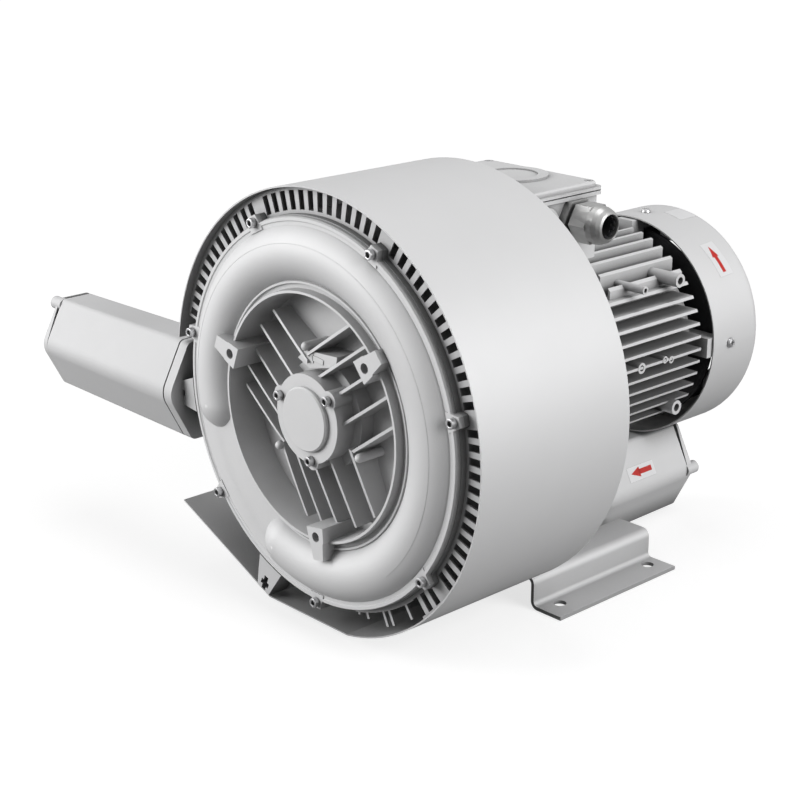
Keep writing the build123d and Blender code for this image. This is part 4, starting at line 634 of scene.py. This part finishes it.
@dataclass
class Fasteners:
    """Screws with their sockets and crosses.

    Screw sizes (head radius and height, socket, shank radius) are in metres, a head's shape in
    shares of them, and places in millimetres and degrees, a seat being where the heads sit.
    """

    dresser: Dresser
    m5: tuple[float, float, float, float] = (0.0043, 0.0040, 0.0040, 0.0025)
    m6: tuple[float, float, float, float] = (0.0050, 0.0060, 0.0050, 0.0030)
    m8: tuple[float, float, float, float] = (0.0065, 0.0070, 0.0060, 0.0040)
    pan: tuple[float, float, float] = (0.0058, 0.0034, 0.0025)
    hexagon: tuple[float, float, float] = (0.0065, 0.0053, 0.0040)
    shank_length: float = 0.004
    shank_rise: float = 0.0001
    shank_sides: int = 20
    socket_sides: int = 40
    socket_floor: float = 0.42
    socket_edge: float = 0.09
    hexagon_inset: float = 0.16
    hexagon_crown: float = 0.05
    hexagon_edge: float = 0.06
    pan_sides: int = 32
    pan_top: float = 0.72
    pan_edge: float = 0.1
    cross_reach: float = 0.55
    cross_narrowing: float = 0.26
    cross_floor: float = 0.5
    lug_radius: float = 197.5
    lug_angles: tuple[float, ...] = tuple(-90.0 + index * 360.0 / 7 for index in range(7))
    cover_seat: float = -3.0
    casing_seat: float = 171.0
    cap_circle: float = 42.0
    cap_angles: tuple[float, ...] = (39.0, 159.0, 279.0)
    cap_seat: float = -12.0
    flange_circle: float = 106.0
    flange_angles: tuple[float, ...] = (45.0, 135.0, 225.0, 315.0)
    flange_seat: float = 217.0
    fan_radius: float = 126.6
    fan_angles: tuple[float, ...] = (0.0, 90.0, 180.0, 240.0)
    fan_station: float = 492.0
    silencer_bosses: tuple[tuple[float, float], ...] = ((39.0, 0.0), (-17.0, 44.0))
    left_cap: tuple[float, float, float] = (-473.05, 28.5, -29.5)
    rear_cap: tuple[float, float, float] = (13.0, 533.05, -179.0)
    leg_sides: tuple[float, ...] = (-75.0, 75.0)
    leg_stations: tuple[float, ...] = (218.0, 238.0)
    leg_seat: float = -204.0

    def socket_screw(self, size: tuple[float, float, float, float]) -> bpy.types.Object:
        """Socket head screw with its seat at the origin and its head upwards.

        Args:
            size: head radius and height, socket width and shank radius in metres.

        Returns:
            The modelled screw.
        """
        radius, height, socket, shank = size
        head = Bench.drum(radius, height, self.socket_sides)
        key = Bench.hexagon(socket / 2, height)
        key.data.transform(Matrix.Translation((0, 0, height * self.socket_floor)))
        Bench.cut(head, key)
        Bench.soften(head, radius * self.socket_edge, 3)
        return Bench.gather([head, self.neck(shank, 0.0)], "screw_master")

    def neck(self, shank: float, rise: float) -> bpy.types.Object:
        """Shank under a head, by its radius and how far it enters the head."""
        neck = Bench.drum(shank, self.shank_length, self.shank_sides)
        neck.data.transform(Matrix.Translation((0, 0, rise - self.shank_length)))
        return neck

    def pan_screw(self, radius: float, height: float, shank: float) -> bpy.types.Object:
        """Pan head screw with a cross recess.

        Args:
            radius: of the head in metres.
            height: of the head in metres.
            shank: radius of the shank that shows.

        Returns:
            The modelled screw.
        """
        head = Bench.drum(radius, height, self.pan_sides)
        Bench.choose_top(head)
        bpy.ops.transform.resize(value=(self.pan_top, self.pan_top, 1))
        bpy.ops.object.mode_set(mode="OBJECT")
        for turn in (0, 90):
            slot = Bench.drum(radius * self.cross_reach, height, 4)
            slot.data.transform(Matrix.Rotation(math.radians(45), 4, "Z"))
            slot.data.transform(Matrix.Diagonal((1.0, self.cross_narrowing, 1.0, 1.0)))
            floor = Matrix.Translation((0, 0, height * self.cross_floor))
            slot.data.transform(floor @ Matrix.Rotation(math.radians(turn), 4, "Z"))
            Bench.cut(head, slot)
        Bench.soften(head, radius * self.pan_edge, 3)
        return Bench.gather([head, self.neck(shank, self.shank_rise)], "pan_screw_master")

    def hexagon_screw(self, radius: float, height: float, shank: float) -> bpy.types.Object:
        """Hexagon head screw with a washer face and a turned-down top edge.

        Args:
            radius: half the width across the flats in metres.
            height: of the head in metres.
            shank: radius of the shank that shows.

        Returns:
            The modelled screw.
        """
        head = Bench.hexagon(radius, height)
        Bench.choose_top(head)
        bpy.ops.mesh.inset(thickness=radius * self.hexagon_inset, depth=0)
        bpy.ops.transform.translate(value=(0, 0, radius * self.hexagon_crown))
        bpy.ops.object.mode_set(mode="OBJECT")
        Bench.soften(head, radius * self.hexagon_edge, 2)
        return Bench.gather([head, self.neck(shank, self.shank_rise)], "hexagon_screw_master")

    def set_out(self, master: bpy.types.Object, places: Iterable[tuple[Vector, Vector]],
                name: str, node: str) -> None:
        """Copy a screw to its places, as one piece that replaces a CAD node.

        Args:
            master: modelled screw.
            places: seat and direction of each head.
            name: name of the piece.
            node: CAD node that the piece stands for.
        """
        twins = [Bench.copy_to(master, Bench.pose(where, facing)) for where, facing in places]
        piece = Bench.gather(twins, name)
        bpy.data.objects.remove(master)
        self.dresser.dress(piece, ZINC)
        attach(piece, BLOWER)
        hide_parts(node)
        LOG.info("%s: %d screws", name, len(twins))

    def build(self) -> None:
        """All screws that show."""
        front = Vector(Facing.FRONT.value)
        rear = Vector(Facing.REAR.value)
        cover = [(rim_spot(self.lug_radius, angle, self.cover_seat), front)
                 for angle in self.lug_angles]
        self.set_out(self.socket_screw(self.m6), cover, "casing_screws_front", "cover_screws")
        casing = [(rim_spot(self.lug_radius, angle, self.casing_seat), rear)
                  for angle in self.lug_angles]
        self.set_out(self.socket_screw(self.m6), casing, "casing_screws_rear", "rear_casing_screws")
        cap = [(rim_spot(self.cap_circle, angle, self.cap_seat), front) for angle in self.cap_angles]
        self.set_out(self.socket_screw(self.m6), cap, "cap_screws", "bearing_cap_screws")
        motor = [(rim_spot(self.flange_circle, angle, self.flange_seat), rear)
                 for angle in self.flange_angles]
        self.set_out(self.socket_screw(self.m8), motor, "motor_screws", "motor_flange_screws")
        self.lid()
        self.fan_hood()
        self.silencers()
        self.underside()

    def lid(self) -> None:
        """Socket screws in the corners of the terminal box's lid."""
        radius, height, *_ = self.m5
        low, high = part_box("lid_screws")
        places = [(Vector((x, y, high.z - height)), Vector(Facing.UP.value))
                  for x in (low.x + radius, high.x - radius)
                  for y in (low.y + radius, high.y - radius)]
        self.set_out(self.socket_screw(self.m5), places, "box_screws", "lid_screws")

    def fan_hood(self) -> None:
        """Pan head screws round the fan cover."""
        places = []
        for angle in self.fan_angles:
            turn = math.radians(angle)
            outwards = Vector((math.cos(turn), 0, math.sin(turn)))
            places.append((rim_spot(self.fan_radius, angle, self.fan_station), outwards))
        self.set_out(self.pan_screw(*self.pan), places, "fan_hood_screws", "fan_cover_screws")

    def silencers(self) -> None:
        """Socket screws in the silencer caps."""
        places = []
        for across, up in self.silencer_bosses:
            x, station, z = self.left_cap
            places.append((spot(x, station + across, z + up), Vector(Facing.LEFT.value)))
            x, station, z = self.rear_cap
            places.append((spot(x + across, station, z + up), Vector(Facing.REAR.value)))
        self.set_out(self.socket_screw(self.m6), places, "silencer_cap_screws", "silencer_screws")

    def underside(self) -> None:
        """Hexagon screws under the seats of the feet."""
        places = [(spot(x, station, self.leg_seat), Vector(Facing.DOWN.value))
                  for x in self.leg_sides for station in self.leg_stations]
        self.set_out(self.hexagon_screw(*self.hexagon), places, "leg_screws", "foot_screws")


@dataclass(frozen=True)
class Film:
    """A thin flat piece on a surface.

    Attributes:
        name: name of the piece.
        finish: its finish.
        size: length and width in metres.
        thickness: metres.
        lift: height over the surface in metres.
        place: degrees round the fan cover, or millimetres up the silencer's face.
        station: millimetres behind the hood's rim.
        turn: degrees on the surface.
        cuts: cells each way of a rectangle that bends; 0 for an arrow.
    """

    name: str
    finish: Finish
    size: tuple[float, float]
    thickness: float
    lift: float
    place: float
    station: float
    turn: float
    cuts: int


FAN_FILMS = (
    Film("fan_arrow_label", LABEL, (0.043, 0.023), thickness=0.00012, lift=0.00005,
         place=43.5, station=506.5, turn=-4.0, cuts=16),
    Film("fan_arrow", ARROW_RED, (0.034, 0.0105), thickness=0.0001, lift=0.0002,
         place=43.3, station=505.5, turn=-4.0, cuts=0),
    Film("bare_plate", PLATE, (0.024, 0.028), thickness=0.0003, lift=0.00005,
         place=78.5, station=522.0, turn=0.0, cuts=16),
)
SILENCER_FILMS = (
    Film("flow_arrow_label", LABEL, (0.046, 0.017), thickness=0.00012, lift=0.0001,
         place=22.0, station=442.5, turn=0.0, cuts=4),
    Film("flow_arrow", ARROW_RED, (0.036, 0.012), thickness=0.0001, lift=0.0003,
         place=22.6, station=442.5, turn=180.0, cuts=0),
)


@dataclass
class Stickers:
    """Plain arrow labels and a bare plate.

    The surfaces under them are in millimetres, an arrow's tail and head in shares of its length.
    """

    dresser: Dresser
    cover_radius: float = 126.4
    silencer_x: float = 13.0
    silencer_z: float = -179.0
    silencer_half_width: float = 50.0
    silencer_flat: float = 21.5
    silencer_half_height: float = 54.5
    silencer_start: float = 219.0
    silencer_length: float = 301.0
    silencer_draft: float = 3.0
    tail_share: float = 0.62
    head_share: float = 0.42

    def arrow(self, length: float, width: float) -> bpy.types.Object:
        """Flat arrow along +X, centred on the origin.

        Args:
            length: from tail to tip in metres.
            width: across the head in metres.

        Returns:
            The arrow's mesh object.
        """
        tail = Bench.panel(length * self.tail_share, width * 0.5, 6)
        tail.data.transform(Matrix.Translation((-length * (1 - self.tail_share) / 2, 0, 0)))
        Bench.clear()
        bpy.ops.mesh.primitive_circle_add(vertices=3, radius=1.0, fill_type="NGON",
                                          location=(0, 0, 0))
        head = bpy.context.active_object
        head.data.transform(Matrix.Rotation(math.radians(-90), 4, "Z"))
        stretch = (length * self.head_share / 1.5, width / math.sqrt(3), 1, 1)
        head.data.transform(Matrix.Diagonal(stretch))
        head.data.transform(Matrix.Translation((length * (0.5 - self.head_share * 2 / 3), 0, 0)))
        Bench.pick(head)
        bpy.ops.object.mode_set(mode="EDIT")
        bpy.ops.mesh.select_all(action="SELECT")
        bpy.ops.mesh.quads_convert_to_tris()
        bpy.ops.mesh.subdivide(number_cuts=4)
        bpy.ops.object.mode_set(mode="OBJECT")
        return Bench.gather([tail, head], "arrow_master")

    def film(self, piece: bpy.types.Object, thickness: float) -> None:
        """Give a flat piece the thickness of a film."""
        Bench.pick(piece)
        modifier = piece.modifiers.new("film", "SOLIDIFY")
        modifier.thickness = thickness
        modifier.offset = 1
        bpy.ops.object.modifier_apply(modifier="film")

    def wrap(self, piece: bpy.types.Object, angle: float, station: float,
             turn: float, lift: float) -> None:
        """Lay a flat piece on the fan cover.

        Args:
            piece: flat piece in the XY plane.
            angle: place round the shaft in degrees.
            station: place along the shaft in millimetres.
            turn: rotation on the surface in degrees; 0 points the piece's X round the shaft.
            lift: height over the sheet in metres.
        """
        piece.data.transform(Matrix.Rotation(math.radians(turn), 4, "Z"))
        radius = self.cover_radius / 1000 + lift
        for vertex in piece.data.vertices:
            around = math.radians(angle) + vertex.co.x / radius
            reach = radius + vertex.co.z
            along = vertex.co.y
            bent = Vector((reach * math.cos(around), along, reach * math.sin(around)))
            vertex.co = spot(0, station, 0) + bent
        self.outward(piece)

    def outward(self, piece: bpy.types.Object) -> None:
        """Turn the faces outwards."""
        Bench.pick(piece)
        bpy.ops.object.mode_set(mode="EDIT")
        bpy.ops.mesh.select_all(action="SELECT")
        bpy.ops.mesh.normals_make_consistent(inside=False)
        bpy.ops.object.mode_set(mode="OBJECT")

    def lay_on_silencer(self, piece: bpy.types.Object, up_slope: float, station: float,
                        turn: float, lift: float) -> None:
        """Lay a flat piece on the upper right face of the rear silencer, which narrows to the rear.

        Args:
            piece: flat piece in the XY plane.
            up_slope: place up the face in millimetres.
            station: place along the silencer in millimetres.
            turn: rotation on the face in degrees; 0 points the piece's X to the rear.
            lift: height over the face in metres.
        """
        lean = math.atan2(self.silencer_half_width - self.silencer_flat, self.silencer_half_height)
        normal = Vector((math.cos(lean), 0, math.sin(lean)))
        slope = Vector((-math.sin(lean), 0, math.cos(lean)))
        draft = self.silencer_draft * (station - self.silencer_start) / self.silencer_length
        corner = spot(self.silencer_x + self.silencer_half_width, station, self.silencer_z)
        origin = corner + slope * (up_slope / 1000) + normal * (lift - draft / 1000)
        tilt = Vector((0, 1, 0)) - normal * (self.silencer_draft / self.silencer_length)
        along = tilt.normalized()
        frame = Matrix((along, slope, along.cross(slope))).transposed().to_4x4()
        spun = Matrix.Rotation(math.radians(turn), 4, "Z")
        piece.data.transform(Matrix.Translation(origin) @ frame @ spun)
        self.outward(piece)

    def finish_piece(self, piece: bpy.types.Object, name: str, finish: Finish) -> None:
        """Name, dress and mount a label."""
        piece.name = name
        self.dresser.dress(piece, finish)
        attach(piece, BLOWER)
        LOG.info("%s", name)

    def cut_out(self, film: Film) -> bpy.types.Object:
        """Flat piece of a film, with its thickness."""
        piece = Bench.panel(*film.size, film.cuts) if film.cuts else self.arrow(*film.size)
        self.film(piece, film.thickness)
        return piece

    def build(self) -> None:
        """Both arrow labels and the bare plate."""
        for film in FAN_FILMS:
            piece = self.cut_out(film)
            self.wrap(piece, film.place, film.station, film.turn, film.lift)
            self.finish_piece(piece, film.name, film.finish)
        for film in SILENCER_FILMS:
            piece = self.cut_out(film)
            self.lay_on_silencer(piece, film.place, film.station, film.turn, film.lift)
            self.finish_piece(piece, film.name, film.finish)


@dataclass
class CastMarks:
    """Raised arrow for the sense of rotation on its pad in the dish, and the channel's parting line.

    The arrow's sizes and the line's bead are in metres, the line's circle in millimetres.
    """

    stickers: Stickers
    radius: float = 0.0585
    middle: float = 90.5
    length: float = 0.026
    width: float = 0.010
    height: float = 0.0008
    seam_radius: float = 172.0
    seam_station: float = -13.9
    seam_start: float = 250.5
    seam_sweep: float = 298.5
    seam_bead: float = 0.00022
    seam_steps: int = 120
    seam_sides: int = 8

    def seam(self) -> None:
        """Fine parting line along the channel, from one of its ends to the other."""
        Bench.clear()
        bpy.ops.mesh.primitive_circle_add(vertices=self.seam_sides, radius=self.seam_bead,
                                          location=(0, 0, 0))
        line = bpy.context.active_object
        turn = math.radians(self.seam_start)
        around = Matrix.Rotation(-turn, 4, "Y") @ Matrix.Translation((self.seam_radius / 1000, 0, 0))
        line.data.transform(Matrix.Translation(spot(0, self.seam_station, 0)) @ around)
        Bench.pick(line)
        bpy.ops.object.mode_set(mode="EDIT")
        bpy.ops.mesh.select_all(action="SELECT")
        bpy.ops.mesh.spin(steps=self.seam_steps, angle=-math.radians(self.seam_sweep),
                          center=spot(0, self.seam_station, 0), axis=(0, 1, 0))
        bpy.ops.mesh.select_all(action="SELECT")
        bpy.ops.mesh.remove_doubles(threshold=0.00001)
        bpy.ops.object.mode_set(mode="OBJECT")
        self.stickers.outward(line)
        bpy.ops.object.shade_smooth()
        self.stickers.finish_piece(line, "channel_parting_line", COVER_CASTING)

    def build(self) -> None:
        """Bend the arrow round the shaft and stand it on the pad."""
        self.seam()
        arrow = self.stickers.arrow(self.length, self.width)
        self.stickers.film(arrow, self.height)
        for vertex in arrow.data.vertices:
            turn = math.radians(self.middle) + vertex.co.x / self.radius
            reach = self.radius + vertex.co.y
            bent = Vector((reach * math.cos(turn), -vertex.co.z, reach * math.sin(turn)))
            vertex.co = spot(0, 0, 0) + bent
        self.stickers.outward(arrow)
        self.stickers.finish_piece(arrow, "cast_arrow", COVER_CASTING)


@dataclass
class GlandClaws:
    """Ring of clamping fingers in the mouth of the cable gland.

    Lengths are in millimetres. A finger is a widened rod, narrower at its tip.
    """

    dresser: Dresser
    fingers: int = 10
    rod: float = 0.7
    widening: float = 3.6
    tip: tuple[float, float, float] = (0.6, 0.8, 1.0)
    edge: float = 0.15
    inner: float = 10.9
    start: float = 121.2
    length: float = 4.6
    station: float = 276.0
    height: float = 165.5

    def build(self) -> None:
        """Model one finger and set it out round the bore."""
        finger = Bench.drum(self.rod / 1000, self.length / 1000, 8)
        finger.data.transform(Matrix.Diagonal((1.0, self.widening, 1.0, 1.0)))
        Bench.choose_top(finger)
        bpy.ops.transform.resize(value=self.tip)
        bpy.ops.object.mode_set(mode="OBJECT")
        Bench.soften(finger, self.edge / 1000, 1)
        mouth = Matrix.Translation(spot(self.start, self.station, self.height))
        outwards = Matrix.Translation((0, 0, self.inner / 1000))
        along_x = Matrix.Rotation(math.radians(90), 4, "Y")
        twins = []
        for index in range(self.fingers):
            turn = Matrix.Rotation(2 * math.pi * index / self.fingers, 4, "X")
            twins.append(Bench.copy_to(finger, mouth @ turn @ outwards @ along_x))
        bpy.data.objects.remove(finger)
        ring = Bench.gather(twins, "gland_claws")
        self.dresser.dress(ring, FAN_PLASTIC)
        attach(ring, BLOWER)
        LOG.info("gland_claws: %d fingers", self.fingers)


@dataclass
class FanRim:
    """Thin rim round the back plate of the cooling fan, in metres; its station in millimetres."""

    dresser: Dresser
    outer: float = 0.111
    inner: float = 0.1069
    thickness: float = 0.0024
    station: float = 480.3
    sides: int = 96

    def build(self) -> None:
        """Turn the rim on the shaft's line, where it runs with the rotor."""
        rim = Bench.drum(self.outer, self.thickness, self.sides)
        bore = Bench.drum(self.inner, self.thickness * 3, self.sides)
        bore.data.transform(Matrix.Translation((0, 0, -self.thickness)))
        Bench.cut(rim, bore)
        along_shaft = Matrix.Rotation(math.radians(-90), 4, "X")
        rim.data.transform(Matrix.Translation(spot(0, self.station, 0)) @ along_shaft)
        rim.name = "fan_rim"
        self.dresser.dress(rim, FAN_PLASTIC)
        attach(rim, ROTOR)
        LOG.info("fan_rim")


@dataclass(frozen=True)
class Lamp:
    """Soft rectangular lamp: its place and the point it faces in metres, its size and its watts."""

    name: str
    place: tuple[float, float, float]
    target: tuple[float, float, float]
    size: tuple[float, float]
    power: float

    def hang(self) -> None:
        """Add the lamp to the scene."""
        data = bpy.data.lights.new(self.name, "AREA")
        data.shape = "RECTANGLE"
        data.size, data.size_y = self.size
        data.energy = self.power
        rig = bpy.data.objects.new(self.name, data)
        bpy.context.scene.collection.objects.link(rig)
        rig.location = self.place
        rig.rotation_mode = "QUATERNION"
        aim = Vector(self.target) - Vector(self.place)
        rig.rotation_quaternion = aim.to_track_quat("-Z", "Y")


@dataclass
class Studio:
    """Camera, lights and the pale floor.

    The floor's glow grows from the near to the far distance, in metres. Mirrors see a share of floor
    and sky; matt surfaces get the floor's bounce and the sky's light alone.
    """

    azimuth: float = 46.954
    elevation: float = 18.909
    lens: float = 78.45
    sensor: float = 36.0
    clip: tuple[float, float] = (0.05, 60.0)
    eye: tuple[float, float, float] = (1.223615, -1.331348, 0.800026)
    floor_size: float = 40.0
    floor_drop: float = 0.0006
    floor_tone: float = 0.40
    floor_glow: float = 0.73
    glow_near: float = 0.7
    glow_far: float = 4.0
    floor_mirror: float = 0.10
    floor_bounce: float = 0.14
    sky_light: float = 0.13
    sky_mirror: float = 0.45
    lamps: tuple[Lamp, ...] = (
        Lamp("key", (-2.0, -2.7, 1.2), (0.0, -0.25, 0.25), (2.2, 2.2), 97.0),
        Lamp("top", (-0.3, 0.1, 2.8), (0.0, 0.0, 0.2), (1.6, 1.6), 20.0),
        Lamp("side", (2.8, 0.5, 1.4), (0.0, 0.0, 0.25), (2.0, 2.0), 80.0),
    )

    def back(self) -> Vector:
        """Direction from the object to the camera."""
        a, e = math.radians(self.azimuth), math.radians(self.elevation)
        return Vector((math.sin(a) * math.cos(e), -math.cos(a) * math.cos(e), math.sin(e)))

    def camera(self) -> None:
        """Camera at the photograph's place."""
        data = bpy.data.cameras.new("camera")
        data.lens = self.lens
        data.sensor_width = self.sensor
        data.sensor_fit = "HORIZONTAL"
        data.clip_start, data.clip_end = self.clip
        rig = bpy.data.objects.new("camera", data)
        bpy.context.scene.collection.objects.link(rig)
        rig.location = self.eye
        rig.rotation_mode = "QUATERNION"
        rig.rotation_quaternion = (-self.back()).to_track_quat("-Z", "Y")
        bpy.context.scene.camera = rig

    def seen_by_mirrors(self, graph: Graph, share: float) -> bpy.types.Node:
        """Factor of 1 for the eye, a share of it for mirrors and glass, and 0 for matt surfaces.

        Args:
            graph: nodes of the floor or the world.
            share: how much mirrors and glass see.

        Returns:
            The node that gives the factor.
        """
        path = graph.node("LightPath")
        mirror = graph.node("Math", operation="MAXIMUM")
        graph.link(path, "Is Glossy Ray", mirror, 0)
        graph.link(path, "Is Transmission Ray", mirror, 1)
        dim = graph.node("Math", operation="MULTIPLY")
        dim.inputs[1].default_value = share
        graph.link(mirror, 0, dim, 0)
        either = graph.node("Math", operation="MAXIMUM")
        graph.link(path, "Is Camera Ray", either, 0)
        graph.link(dim, 0, either, 1)
        return either

    def floor(self) -> None:
        """Wide pale floor that keeps the object's shadow."""
        Bench.clear()
        bpy.ops.mesh.primitive_plane_add(size=self.floor_size, location=(0, 0, -self.floor_drop))
        floor = bpy.context.active_object
        floor.name = "floor"
        graph = Surface("pale floor")
        graph.tree.nodes.remove(graph.shader)
        tone, bounce = self.floor_tone, self.floor_bounce
        matt = graph.node("BsdfDiffuse", Color=(tone, tone, tone, 1))
        dull = graph.node("BsdfDiffuse", Color=(bounce, bounce, bounce, 1))
        glow = graph.node("Emission", Color=(1, 1, 1, 1))
        reach = graph.node("VectorMath", operation="LENGTH")
        graph.link(graph.coords, "Object", reach, 0)
        level = graph.spread(reach, "Value", self.floor_glow, 1.0, self.glow_near, self.glow_far)
        graph.link(level, 0, glow, "Strength")
        add = graph.node("AddShader")
        graph.link(matt, 0, add, 0)
        graph.link(glow, 0, add, 1)
        mix = graph.node("MixShader")
        graph.link(self.seen_by_mirrors(graph, self.floor_mirror), 0, mix, 0)
        graph.link(dull, 0, mix, 1)
        graph.link(add, 0, mix, 2)
        graph.link(mix, 0, graph.output, "Surface")
        floor.data.materials.append(graph.material)

    def world(self) -> None:
        """White background for the eye and reflections, softer light for matt surfaces."""
        world = bpy.data.worlds.new("studio")
        bpy.context.scene.world = world
        graph = Graph(world)
        seen = graph.node("Background", Color=(1, 1, 1, 1), Strength=1.0)
        lit = graph.node("Background", Color=(1, 1, 1, 1), Strength=self.sky_light)
        mix = graph.node("MixShader")
        graph.link(self.seen_by_mirrors(graph, self.sky_mirror), 0, mix, 0)
        graph.link(lit, 0, mix, 1)
        graph.link(seen, 0, mix, 2)
        graph.link(mix, 0, graph.node("OutputWorld"), "Surface")

    def build(self) -> None:
        """Whole studio."""
        bpy.context.scene.view_settings.view_transform = "Standard"
        self.camera()
        self.world()
        self.floor()
        for lamp in self.lamps:
            lamp.hang()
        LOG.info("studio ready")


def main() -> None:
    """Dress the blower, light it and report each piece."""
    logging.basicConfig(level=logging.INFO, format="%(name)s: %(message)s")
    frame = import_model()
    dresser = Dresser(frame["nodes"])
    dresser.dress_nodes()
    Studio().build()
    Fasteners(dresser).build()
    stickers = Stickers(dresser)
    stickers.build()
    CastMarks(stickers).build()
    GlandClaws(dresser).build()
    FanRim(dresser).build()


if __name__ == "__main__":
    main()
